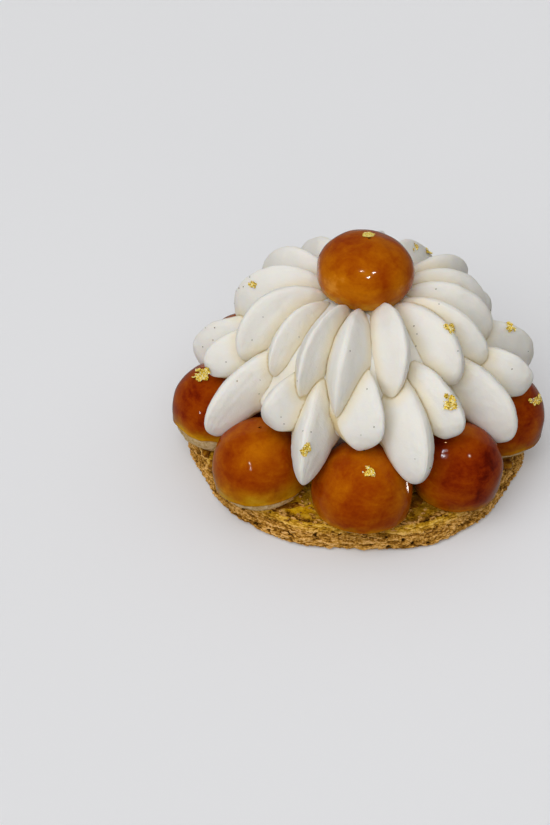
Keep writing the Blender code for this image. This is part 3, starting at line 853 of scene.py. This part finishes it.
# base tone, spots (picture x, y, size in mm, amount) or (direction, 0, size,
# amount), extra tone at the lower rim, height of that band, how olive it is
TONES = {
    1: (0.36, ((190, 395, 6, -0.20), (184, 415, 4, -0.14), (186, 428, 5, 0.16)), 0.34, 7.0, 1.1),
    2: (0.50, ((254, 456, 6, 0.24), (227, 455, 4, -0.31), (230, 474, 4, -0.24),
               # the small lighter spot at (213, 465) on the left rim is a painted reflection
               (276, 440, 5, 0.14), (283, 468, 6, 0.0), (213, 465, 2.5, 0.22), (262, 486, 5, -0.10),
               (242, 440, 4, -0.10), (250, 497, 7, 0.06)), 0.20, 13.0, 1.1),
    3: (0.50, ((320, 485, 6, -0.16), (360, 522, 8, -0.12), (345, 490, 5, 0.10),
               (404, 484, 6, 0.27), (380, 462, 6, 0.12), (360, 455, 4, 0.08), (340, 466, 4, -0.12)), 0.12, 4.0, 0.8),
    4: (0.34, ((488, 465, 9, -0.20), (475, 498, 7, -0.10), (455, 505, 6, 0.06),
               # the small lighter spot at (501, 467) on the right rim is a painted reflection
               (436, 495, 5, 0.20), (470, 430, 7, 0.18), (436, 445, 5, -0.20), (501, 467, 2, 0.16)), 0.14, 6.0, 0.8),
    5: (0.38, ((525, 425, 7, -0.10), (538, 430, 5, 0.10), (520, 447, 5, 0.08)), 0.16, 6.0, 0.8),
    6: (0.44, (((0.8, 0.9, 0.5), 0, 9, -0.25), ((1, 0.2, 0.6), 0, 7, 0.15)), 0.18, 6.0, 0.8),
    7: (0.50, (((0.1, 1, 0.6), 0, 8, -0.18), ((0.8, 0.9, 0.4), 0, 7, 0.14)), 0.20, 8.0, 0.9),
    8: (0.42, (((-0.5, 1, 0.4), 0, 9, -0.22), ((0.3, 1, 0.8), 0, 7, 0.12)), 0.16, 6.0, 0.8),
    9: (0.48, (((-1, 0.6, 0.5), 0, 8, 0.14), ((-0.6, 1, 0.3), 0, 8, -0.2)), 0.20, 7.0, 0.9),
}
TOP_EDGE = (1.6, 0.9, 120, 1.0)
TOP_TONES = (0.55, ((363, 273, 4.0, 0.26), (345, 279, 2.5, 0.24), (335, 250, 7, -0.12),
                    (340, 292, 6, 0.16), (398, 292, 5, 0.26), (355, 296, 5, 0.18),
                    (385, 250, 8, 0.05), (330, 285, 5, 0.20), (385, 283, 5, -0.08),
                    (372, 296, 4, 0.14), (322, 268, 6, 0.16)), 0.26, 7.0, 0.8)


def build_all_choux(skin, caramel):
    shells = []
    for i, spec in enumerate(RING_CHOUX):
        n = i + 1
        shells += build_choux(n, f"choux_{n:02d}", f"choux_ring_{n:02d}", spec,
                              RING_FOOT_Z, 0.0, EDGES[n], TONES[n], skin, caramel, 100 + n)
    shells += build_choux(0, "choux_crown", "choux_top", TOP_CHOUX, TOP_CHOUX_FOOT_Z,
                          TOP_CHOUX_TILT, TOP_EDGE, TOP_TONES, skin, caramel, 131, 0.7)
    return shells


# ---------------------------------------------------------------------- pastry
def rim_radius(th):
    return PASTRY_R + PASTRY_WAVE * np.cos(6 * th) + 0.4 * np.cos(11 * th + 1.0) \
        + PASTRY_PULL * np.cos(th - math.radians(PASTRY_PULL_AT))


def slope(z):
    """How far the pastry's side has drawn in at height z (mm)."""
    return 5.6 * np.clip((z - 1.6) / (PASTRY_H - 1.6), 0, 1) ** 1.25


def build_pastry(mat):
    cols = 900
    th = np.linspace(0, 2 * math.pi, cols, endpoint=False)
    arc = th * PASTRY_R
    cx, cy = np.cos(th), np.sin(th)

    def around(size, seed, off=0.0):
        r = PASTRY_R / size
        return noise(np.c_[cx * r + off, cy * r, np.full(cols, off * 1.3)], seed)

    rows, relief, glazed = [], [], []

    def put(r, z, rel, gl):
        rows.append(np.c_[r * cx, r * cy, z])
        relief.append(np.broadcast_to(rel, (cols,)).copy())
        glazed.append(np.broadcast_to(gl, (cols,)).copy())

    rim = rim_radius(th)
    # underside, with a darker tone as painted shade
    for share in (0.25, 0.7):
        put(rim * share, np.zeros(cols), 0.3, 0.0)
    put(rim - 3.2, np.zeros(cols), 0.3, 0.0)
    # side: laminated layers, each with its own ragged edge
    side = 48
    thick = 0.72
    warp = 1.5 * around(22.0, 5) + 0.6 * around(6.0, 6)
    for k in range(side):
        z0 = (k / (side - 1)) * PASTRY_H
        lay = (z0 + warp * math.sin(math.pi * z0 / PASTRY_H)) / thick
        idx = np.floor(lay)
        frac = lay - idx
        ledge = np.zeros(cols)
        for m in range(-2, int(PASTRY_H / thick) + 3):
            sel = idx == m
            if sel.any():
                e = (0.95 * around(13.0, 200 + m) + 0.70 * around(3.4, 240 + m)
                     + 0.62 * around(1.0, 280 + m))
                ledge[sel] = e[sel]
        ledge *= smooth(z0, -0.2, 1.2)
        groove = -0.70 * np.abs(2 * frac - 1) ** 3 * (0.6 + 0.6 * around(4.0, 350 + k // 6))
        holes = -1.5 * smooth(noise(np.c_[arc / 3.4, np.full(cols, z0 / 1.5), 0 * arc], 311),
                              0.42, 0.62)
        fine = 0.22 * noise(np.c_[arc / 0.8, np.full(cols, z0 / 0.5), 0 * arc], 310)
        r = rim - 1.7 * (1 - smooth(z0, 0.0, 1.5)) - slope(z0) + ledge + groove + holes + fine
        zz = z0 + 0.20 * around(2.2, 330 + k // 4) * math.sin(math.pi * z0 / PASTRY_H)
        if k == 0:
            zz = np.zeros(cols)
            r = np.minimum(r, rim - 1.6)
        # the third value is painted light on protruding ledges and painted shade in grooves and holes
        put(r, np.maximum(zz, 0.0), 0.72 + 0.26 * ledge + 0.60 * groove + 0.35 * holes,
            0.45 * smooth(z0, 5.5, PASTRY_H))
    # top: blistered, flaky surface with pores
    outer = rim - slope(PASTRY_H) - 0.4
    n_top = 40
    for k in range(n_top):
        f = (k + 1) / n_top
        r = outer * (1 - f) + 47.0 * f
        p = np.c_[r * cx, r * cy, np.zeros(cols)]
        z, rel, gl = pastry_top(p, smooth(PASTRY_R - r, 5.0, 9.0))
        put(r, PASTRY_H + z, rel, gl)
    for r in (40.0, 28.0, 12.0):
        put(np.full(cols, r), np.full(cols, PASTRY_H), 0.4, 0.3)
    v = np.vstack(rows)
    faces = ring_faces(len(rows), cols)
    faces.append(tuple(range(cols)))
    faces.append(tuple(range(len(v) - cols, len(v))[::-1]))
    ob = add_mesh("pastry_disc", v, outward(v, faces), [mat],
                  attributes={"relief": np.clip(np.concatenate(relief), 0, 1),
                              "glazed": np.clip(np.concatenate(glazed), 0, 1)})
    return done(ob, ["pastry_base"])


def pastry_top(p, inner):
    """Height, shading and glaze of the pastry's top at points p (mm); the shading is painted light on raised plates
    and painted shade in the pores.
    """
    big = fbm(p / 8.0 + 3.3, 401, 2)
    mid = fbm(p / 2.6 + 7.7, 402, 2)
    plates = noise(p / 4.2 + 1.1, 403)
    step = smooth(plates, 0.02, 0.10) + smooth(plates, 0.42, 0.50)
    pores = smooth(noise(p / 1.25 + 9.1, 404), 0.38, 0.62)
    calm = 1 - 0.65 * inner
    z = 0.35 * big + (0.24 * mid + 0.34 * step - 0.75 * pores) * calm - 0.25
    # painted light on raised plates, painted shade in the pores
    rel = 0.62 + (0.34 * mid + 0.24 * (step - 0.8) - 0.65 * pores) * calm
    gl = inner * (0.55 + 0.45 * smooth(fbm(p / 9.0 + 5.0, 405, 2), -0.35, 0.2))
    # the glaze is stronger towards -x than towards +x
    gl = gl * (0.45 + 0.55 * smooth(-p[:, 0], -24.0, 8.0))
    return z, rel, gl


# --------------------------------------------------------------- small things
def scrap(rng, width, height, crumple, cells=8, thin=0.05):
    """A crumpled scrap of leaf around its own origin, a thin closed sheet."""
    n = cells + 1
    gx, gy = np.meshgrid(np.linspace(-1, 1, n), np.linspace(-1, 1, n))
    ang = np.arctan2(gy, gx)
    seed = int(rng.integers(1, 9999))
    off = rng.uniform(0, 50)
    edge = 0.80 + 0.34 * noise(np.c_[np.cos(ang.ravel()) * 1.8 + off,
                                     np.sin(ang.ravel()) * 1.8, 0 * ang.ravel()], seed)
    rad = np.maximum(np.abs(gx), np.abs(gy)).ravel()
    norm = np.hypot(gx, gy).ravel() + 1e-9
    x = gx.ravel() / norm * rad * edge * width / 2
    y = gy.ravel() / norm * rad * edge * height / 2
    p = np.c_[x / 0.9 + off, y / 0.9, 0 * x]
    fold = 0.75 * (np.abs(noise(p, seed + 1)) * 2 - 0.6) + 0.4 * noise(p * 2.1, seed + 2)
    z = crumple * fold
    top = np.c_[x, y, z + thin / 2]
    bot = np.c_[x, y, z - thin / 2]
    v = np.vstack([top, bot])
    faces, m = [], n * n
    for i in range(cells):
        for j in range(cells):
            a = i * n + j
            b, c, d = a + 1, a + n + 1, a + n
            faces.append((a, b, c))
            faces.append((a, c, d))
            faces.append((m + a, m + c, m + b))
            faces.append((m + a, m + d, m + c))
    loop = [j for j in range(n)] + [i * n + n - 1 for i in range(1, n)] \
        + [(n - 1) * n + j for j in range(n - 2, -1, -1)] + [i * n for i in range(n - 2, 0, -1)]
    for a, b in zip(loop, loop[1:] + loop[:1]):
        faces.append((a, m + a, m + b))
        faces.append((a, m + b, b))
    # the last value is shading for the leaf: painted shade in hollows, painted highlight on raised folds
    return v, faces, np.tile(np.clip(0.55 + 0.75 * fold, 0, 1), 2)


def frame_on(normal, spin):
    n = np.asarray(normal, float)
    n /= np.linalg.norm(n)
    a = np.cross(n, [0.3, -0.9, 0.2])
    a /= np.linalg.norm(a)
    b = np.cross(n, a)
    c, s = math.cos(spin), math.sin(spin)
    return np.array([a * c + b * s, b * c - a * s, n])


def world_points(ob):
    co = np.empty(len(ob.data.vertices) * 3)
    ob.data.vertices.foreach_get("co", co)
    w = np.array(ob.matrix_world)
    return (co.reshape(-1, 3) @ w[:3, :3].T + w[:3, 3]) * 1000.0


def surface(objects):
    """One tree over all the objects, in mm."""
    verts, polys, base = [], [], 0
    for ob in objects:
        co = world_points(ob)
        verts += [tuple(c) for c in co]
        polys += [tuple(base + i for i in p.vertices) for p in ob.data.polygons]
        base += len(co)
    return BVHTree.FromPolygons(verts, polys)


def hit_pixel(tree, px, py):
    loc, nrm, _, _ = tree.ray_cast(Vector(EYE), Vector(ray(px, py)))
    if loc is None:
        return None, None
    return np.array(loc), np.array(nrm)


# gold leaf: picture x, y, width and height in mm, number of scraps, crumple
GOLD = (
    (254, 285, 5.4, 4.2, 5, 0.70), (307, 448, 6.6, 7.2, 7, 0.75),
    (368, 472, 6.0, 7.2, 6, 0.70), (450, 401, 6.6, 8.0, 7, 0.80),
    (535, 401, 6.8, 7.2, 7, 0.70), (201, 374, 9.0, 8.0, 9, 0.65),
    (450, 330, 5.4, 7.6, 5, 0.70), (509, 326, 6.6, 6.0, 5, 0.70),
    (416, 247, 3.8, 4.6, 3, 0.60), (428, 252, 6.0, 6.4, 5, 0.70),
)
GOLD_SEEDS = (51, 52, 53, 54, 55, 56, 57, 58, 59, 60)
CROWN_GOLD = (369, 235, 6.6, 6.0)


def build_gold(tree, mat):
    verts, faces, fold, base = [], [], [], 0

    def place(v, f, shade, at, axes):
        nonlocal base
        verts.append(v @ axes + at)
        faces.extend([tuple(base + i for i in q) for q in f])
        fold.append(shade)
        base += len(v)

    for i, (px, py, w, h, count, crumple) in enumerate(GOLD):
        rng = np.random.default_rng(GOLD_SEEDS[i])
        for k in range(count):
            dx, dy = rng.uniform(-0.36, 0.36, 2) * (k > 0)
            at, nrm = hit_pixel(tree, px + dx * w * 2.37, py + dy * h * 2.37 * 0.8)
            if at is None:
                continue
            size = 0.80 if k == 0 else rng.uniform(0.30, 0.60)
            v, f, shade = scrap(rng, w * size, h * size, crumple * (1.2 if k == 0 else 0.9),
                                cells=14 if k == 0 else 8)
            tip = frame_on(nrm + rng.normal(0, 0.25, 3), rng.uniform(0, 6.28))
            place(v, f, shade, at + nrm * (crumple * 0.45 + 0.12 * k), tip)
    at, nrm = hit_pixel(tree, CROWN_GOLD[0], CROWN_GOLD[1])
    if at is not None:
        v, f, shade = scrap(np.random.default_rng(5), CROWN_GOLD[2], CROWN_GOLD[3], 0.12)
        place(v, f, 0.35 + 0.4 * shade, at + nrm * 0.2, frame_on(nrm, 0.4))
    # the fold attribute carries each scrap's painted shade and highlights
    ob = add_mesh("gold_leaf", np.vstack(verts), faces, [mat], smooth_angle=20,
                  attributes={"fold": np.concatenate(fold)})
    return done(ob)


SPECKS = (
    (263, 317), (252, 340), (299, 337), (350, 351), (414, 326), (417, 334),
    (416, 346), (436, 289), (439, 304), (458, 351), (512, 369), (415, 459),
    (430, 468), (237, 381), (226, 362), (281, 417), (284, 424), (303, 431),
    (311, 432), (367, 389), (374, 427), (361, 435), (260, 380), (259, 394),
)


def blob(rng, size, stretch=1.0, rough=0.25, detail=1):
    """A small uneven lump: an icosphere's points pushed about."""
    t = (1 + 5 ** 0.5) / 2
    v = [(-1, t, 0), (1, t, 0), (-1, -t, 0), (1, -t, 0), (0, -1, t), (0, 1, t),
         (0, -1, -t), (0, 1, -t), (t, 0, -1), (t, 0, 1), (-t, 0, -1), (-t, 0, 1)]
    f = [(0, 11, 5), (0, 5, 1), (0, 1, 7), (0, 7, 10), (0, 10, 11), (1, 5, 9),
         (5, 11, 4), (11, 10, 2), (10, 7, 6), (7, 1, 8), (3, 9, 4), (3, 4, 2),
         (3, 2, 6), (3, 6, 8), (3, 8, 9), (4, 9, 5), (2, 4, 11), (6, 2, 10),
         (8, 6, 7), (9, 8, 1)]
    v = [np.array(p, float) / math.sqrt(1 + t * t) for p in v]
    for _ in range(detail):
        mid, nf = {}, []

        def half(a, b):
            key = (min(a, b), max(a, b))
            if key not in mid:
                m = v[a] + v[b]
                v.append(m / np.linalg.norm(m))
                mid[key] = len(v) - 1
            return mid[key]

        for a, b, c in f:
            x, y, z = half(a, b), half(b, c), half(c, a)
            nf += [(a, x, z), (b, y, x), (c, z, y), (x, y, z)]
        f = nf
    v = np.array(v)
    v *= (1 + rough * noise(v * 1.7 + rng.uniform(0, 90), 12))[:, None]
    v *= np.array([stretch, 1.0, 0.8]) * size / 2
    return v, f


def build_specks(tree, mat):
    rng = np.random.default_rng(8)
    verts, faces, base = [], [], 0
    spots = [hit_pixel(tree, px, py) for px, py in SPECKS]
    # the same scatter carries on round the sides that the picture doesn't show
    for _ in range(150):
        a, z = rng.uniform(0, 2 * math.pi), rng.uniform(34, 78)
        o = np.array([130 * math.cos(a), 130 * math.sin(a), z + 25])
        d = np.array([0, 0, z - 14]) - o
        loc, nrm, _, _ = tree.ray_cast(Vector(o), Vector(d / np.linalg.norm(d)))
        if loc is None:
            continue
        front = -math.sin(a) > 0.25
        if front and rng.uniform() < 0.93:
            continue
        spots.append((np.array(loc), np.array(nrm)))
    for at, nrm in spots:
        if at is None:
            continue
        size = rng.uniform(0.34, 0.56)
        v, f = blob(rng, size, rng.uniform(1.0, 1.5), 0.3)
        axes = frame_on(nrm, rng.uniform(0, 6.28))
        verts.append(v @ axes + at + nrm * size * 0.05)
        faces += [tuple(base + i for i in q) for q in f]
        base += len(v)
    ob = add_mesh("vanilla_specks", np.vstack(verts), faces, [mat])
    return done(ob)


# caramel and painted shade on the pastry: picture x, y, length and width in mm,
# direction of its length in degrees, thickness
FRONT_POOLS_AND_SHADE = (
    (289, 506, 12.0, 3.6, 20, 0.4),
    (418, 497, 9.0, 6.5, 70, 0.6), (410, 506, 7.0, 4.0, 30, 0.4),
    (506, 462, 8.0, 6.0, 80, 0.5), (214, 466, 7.0, 5.0, 120, 0.5),
    (206, 452, 6.0, 4.0, 100, 0.4),
)


def on_pastry(px, py):
    """Point of the pastry's top under a point of the picture."""
    d = ray(px, py)
    return EYE + d * ((PASTRY_H - EYE[2]) / d[2])


def build_pools_and_shade(mat):
    """Caramel that ran down and set on the pastry between the choux; its dark patches are also painted shade in
    those gaps.
    """
    rng = np.random.default_rng(21)
    verts, faces, base = [], [], 0
    spots = []
    for px, py, long, wide, turn, thick in FRONT_POOLS_AND_SHADE:
        at = on_pastry(px, py)
        spots.append((at[0], at[1], long / 2, wide / 2, math.radians(turn), thick))
    for az in (14.0, 53.0, 92.0, 131.0, 170.0):
        a = math.radians(az)
        spots.append((60.0 * math.cos(a), 60.0 * math.sin(a), rng.uniform(5.0, 7.0),
                      rng.uniform(2.5, 3.5), a, 0.5))
    rows, cols = 10, 48
    th = np.linspace(0, 2 * math.pi, cols, endpoint=False)
    for n, (x, y, long, wide, a, thick) in enumerate(spots):
        mid = np.array([x, y])
        out = np.array([math.cos(a), math.sin(a)])
        side = np.array([-out[1], out[0]])
        edge = 1 + 0.45 * noise(np.c_[np.cos(th) * 1.7, np.sin(th) * 1.7, th * 0 + n * 3.1], 61)
        v = []
        for i in range(rows):
            f = (i + 1) / rows
            e = f * edge
            xy = mid + np.outer(e * long * np.cos(th), out) + np.outer(e * wide * np.sin(th), side)
            v.append(np.c_[xy, PASTRY_H + 0.35 * fbm(np.c_[xy, np.zeros(cols)] / 8.0 + 3.3, 401, 2)
                           + thick * (1 - f ** 4) ** 0.5])
        low = v[-1].copy()
        low[:, 2] = PASTRY_H - 1.0
        v.append(low)
        top = np.array([[x, y, v[0][:, 2].mean() + 0.01]])
        bot = np.array([[x, y, PASTRY_H - 1.0]])
        allv = np.vstack(v + [top, bot])
        f = ring_faces(rows + 1, cols)
        for j in range(cols):
            k = (j + 1) % cols
            f.append((k, j, len(allv) - 2))
            f.append((rows * cols + j, rows * cols + k, len(allv) - 1))
        f = outward(allv, f)
        verts.append(allv)
        faces += [tuple(base + i for i in q) for q in f]
        base += len(allv)
    ob = add_mesh("caramel_pools_and_shade", np.vstack(verts), faces, [mat])
    return done(ob)


def build_flakes(mat):
    """Loose and lifting flakes on the pastry's rim and top, and crumbs."""
    rng = np.random.default_rng(33)
    verts, faces, relief, base = [], [], [], 0

    def add(v, f, at, axes, rel):
        nonlocal base
        verts.append(v @ axes + at)
        faces.extend([tuple(base + i for i in q) for q in f])
        relief.append(np.full(len(v), rel))
        base += len(v)

    for _ in range(900):
        a = rng.uniform(0, 2 * math.pi)
        up = rng.uniform() < 0.30
        r_rim = float(rim_radius(np.array([a]))[0])
        out = np.array([math.cos(a), math.sin(a), 0.0])
        v, f, _ = scrap(rng, rng.uniform(1.4, 5.0), rng.uniform(0.8, 2.0),
                     rng.uniform(0.12, 0.40), cells=5, thin=0.16)
        if up:
            r = r_rim - 6.0 - 11.0 * rng.uniform() ** 1.8
            at = out * r + np.array([0, 0, PASTRY_H + 0.15])
            nrm = np.array([0, 0, 1.0]) + out * rng.uniform(-0.1, 0.35) + rng.normal(0, 0.12, 3)
        else:
            z = PASTRY_H - 0.2 - (PASTRY_H - 1.4) * rng.uniform() ** 1.3
            at = out * (r_rim - 0.5 - float(slope(z))) + np.array([0, 0, z])
            nrm = np.array([0, 0, 1.0]) * rng.uniform(0.8, 1.3) + out * rng.uniform(-0.1, 0.9)
        n = nrm / np.linalg.norm(nrm)
        t = np.cross([0, 0, 1.0], out)
        t = t - n * (t @ n)
        t /= np.linalg.norm(t)
        axes = np.array([t, np.cross(n, t), n])
        add(v, f, at, axes, rng.uniform(0.45, 0.9))
    for _ in range(260):
        a = rng.uniform(0, 2 * math.pi)
        r = rng.uniform(52.0, 69.5)
        at = np.array([r * math.cos(a), r * math.sin(a), PASTRY_H + 0.25])
        v, f = blob(rng, rng.uniform(0.5, 1.5), rng.uniform(1.0, 1.6), 0.5)
        add(v, f, at, frame_on([0.1, 0.1, 1], rng.uniform(0, 6.28)), rng.uniform(0.5, 1.0))
    v = np.vstack(verts)
    v[:, 2] = np.maximum(v[:, 2], 0.05)
    rel = np.concatenate(relief)
    ob = add_mesh("pastry_flakes", v, faces, [mat], smooth_angle=40,
                  attributes={"relief": rel, "glazed": np.zeros(len(v))})
    return done(ob)


# ----------------------------------------------------------------- floor, light
def build_floor():
    s = 2500.0
    v = [(-s, -s, 0), (s, -s, 0), (s, s, 0), (-s, s, 0)]
    ob = add_mesh("floor", v, [(0, 1, 2, 3)], [floor_material()])
    ob.visible_diffuse = False
    ob.visible_glossy = False


def area_light(name, at, aim, size, power, colour=(1, 1, 1)):
    light = bpy.data.lights.new(name, "AREA")
    light.shape = "RECTANGLE"
    light.size, light.size_y = size
    light.energy = power
    light.color = colour
    ob = bpy.data.objects.new(name, light)
    ob.location = Vector(at)
    ob.rotation_euler = (Vector(aim) - Vector(at)).to_track_quat("-Z", "Y").to_euler()
    bpy.context.scene.collection.objects.link(ob)
    return ob


def sun(name, source, power, angle, colour=(1, 1, 1)):
    """Broad soft light from a direction; it leaves no picture of itself in the glaze."""
    light = bpy.data.lights.new(name, "SUN")
    light.energy = power
    light.angle = math.radians(angle)
    light.color = colour
    ob = bpy.data.objects.new(name, light)
    ob.rotation_euler = (-Vector(source)).to_track_quat("-Z", "Y").to_euler()
    ob.location = Vector(source)
    ob.visible_glossy = False
    bpy.context.scene.collection.objects.link(ob)
    return ob


# small windows mirrored in one piece of caramel: name of the piece, point looked
# at (mm), direction of the light from it, size (m), power (W), colour.  The glaze
# tints what it mirrors head on, so those windows are blue enough to come out white.
HEAD_ON, GRAZING = (0.15, 0.28, 1.0), (0.93, 0.96, 1.0)
GLINTS = (
    ("choux_04_caramel", (43, -43, 23), (-0.601, -0.183, 0.778), (0.15, 0.075), 52.0, HEAD_ON),
    ("choux_04_caramel", (43, -43, 23), (-0.613, -0.397, 0.683), (0.15, 0.075), 52.0, HEAD_ON),
    ("choux_04_caramel", (43, -43, 23), (-0.502, -0.229, 0.834), (0.15, 0.070), 24.0, HEAD_ON),
    ("choux_04_caramel", (43, -43, 23), (-0.511, -0.445, 0.736), (0.15, 0.070), 30.0, HEAD_ON),
    ("choux_04_caramel", (43, -43, 23), (0.408, -0.375, 0.832), (0.07, 0.05), 14.0, HEAD_ON),
    ("choux_04_caramel", (43, -43, 23), (-0.462, 0.316, 0.828), (0.03, 0.02), 1.6, GRAZING),
    ("choux_04_caramel", (43, -43, 23), (0.074, 0.645, 0.761), (0.02, 0.02), 0.8, GRAZING),
    ("choux_crown_caramel", (0, 0, 92), (0.215, -0.648, 0.730), (0.12, 0.07), 34.0, HEAD_ON),
    ("choux_crown_caramel", (0, 0, 92), (0.389, -0.420, 0.820), (0.07, 0.07), 22.0, HEAD_ON),
    ("choux_crown_caramel", (0, 0, 92), (-0.005, -0.401, 0.916), (0.04, 0.03), 5.0, HEAD_ON),
    ("choux_02_caramel", (-40, -48, 22), (-0.33, -0.72, 0.61), (0.16, 0.05), 9.0, HEAD_ON),
    ("choux_02_caramel", (-40, -48, 22), (-0.26, -0.87, 0.42), (0.05, 0.16), 9.0, HEAD_ON),
    ("choux_03_caramel", (3, -59, 21), (0.86, 0.44, -0.26), (0.03, 0.14), 2.4, GRAZING),
    ("choux_01_caramel", (-61, -10, 23), (-0.64, -0.73, 0.25), (0.04, 0.04), 5.0, HEAD_ON),
)


def build_light():
    world = bpy.data.worlds.new("studio")
    bpy.context.scene.world = world
    world.use_nodes = True
    t = world.node_tree
    bg = t.nodes["Background"]
    co = t.nodes.new("ShaderNodeTexCoord")
    sep = t.nodes.new("ShaderNodeSeparateXYZ")
    t.links.new(co.outputs["Generated"], sep.inputs[0])
    # nearly even, a little paler below
    ramp = t.nodes.new("ShaderNodeMapRange")
    ramp.interpolation_type = "SMOOTHSTEP"
    ramp.inputs["From Min"].default_value = -0.20
    ramp.inputs["From Max"].default_value = 0.35
    ramp.inputs["To Min"].default_value = 0.27
    ramp.inputs["To Max"].default_value = 0.18
    t.links.new(sep.outputs["Z"], ramp.inputs["Value"])
    t.links.new(ramp.outputs["Result"], bg.inputs["Strength"])
    bg.inputs["Color"].default_value = (1.0, 0.98, 0.92, 1)
    sun("key", (-0.60, -0.74, 1.15), 1.17, 60)
    sun("front", (-0.16, -0.95, 0.52), 1.03, 70)
    sun("overhead", (0.20, 0.40, 1.5), 0.72, 105, (0.99, 0.995, 1.0))
    # small windows that only show as glints in the glaze
    for piece, target, toward, size, power, colour in GLINTS:
        at = np.array(target) * MM
        d = np.array(toward, float)
        d /= np.linalg.norm(d)
        ob = area_light("glint", at + d * 0.9, at, size, power, colour)
        ob.visible_diffuse = False
        ob.data.cycles.max_bounces = 0
        group = bpy.data.collections.new("lit_" + piece)
        group.objects.link(bpy.data.objects[piece])
        ob.light_linking.receiver_collection = group
        ob.light_linking.blocker_collection = group


# ------------------------------------------------------------------------ main
def main():
    make_camera()
    scene = bpy.context.scene
    scene.view_settings.view_transform = "Standard"
    scene.view_settings.look = "None"
    scene.view_settings.exposure = 0.0
    scene.view_settings.gamma = 1.0

    cream, caramel, skin = cream_material(), caramel_material(), skin_material()
    pastry = pastry_material()
    build_pastry(pastry)
    petals = build_petals(cream)
    mound = build_mound(cream)
    shells = build_all_choux(skin, caramel)
    build_pools_and_shade(pool_and_shade_material())
    build_flakes(pastry)
    bpy.context.view_layer.update()
    mark_creases(petals, mound)
    tree = surface(petals + shells)
    cream_tree = surface(petals + [mound])
    build_gold(tree, gold_material())
    build_specks(cream_tree, vanilla_material())
    build_floor()
    build_light()

    bpy.context.view_layer.update()


main()
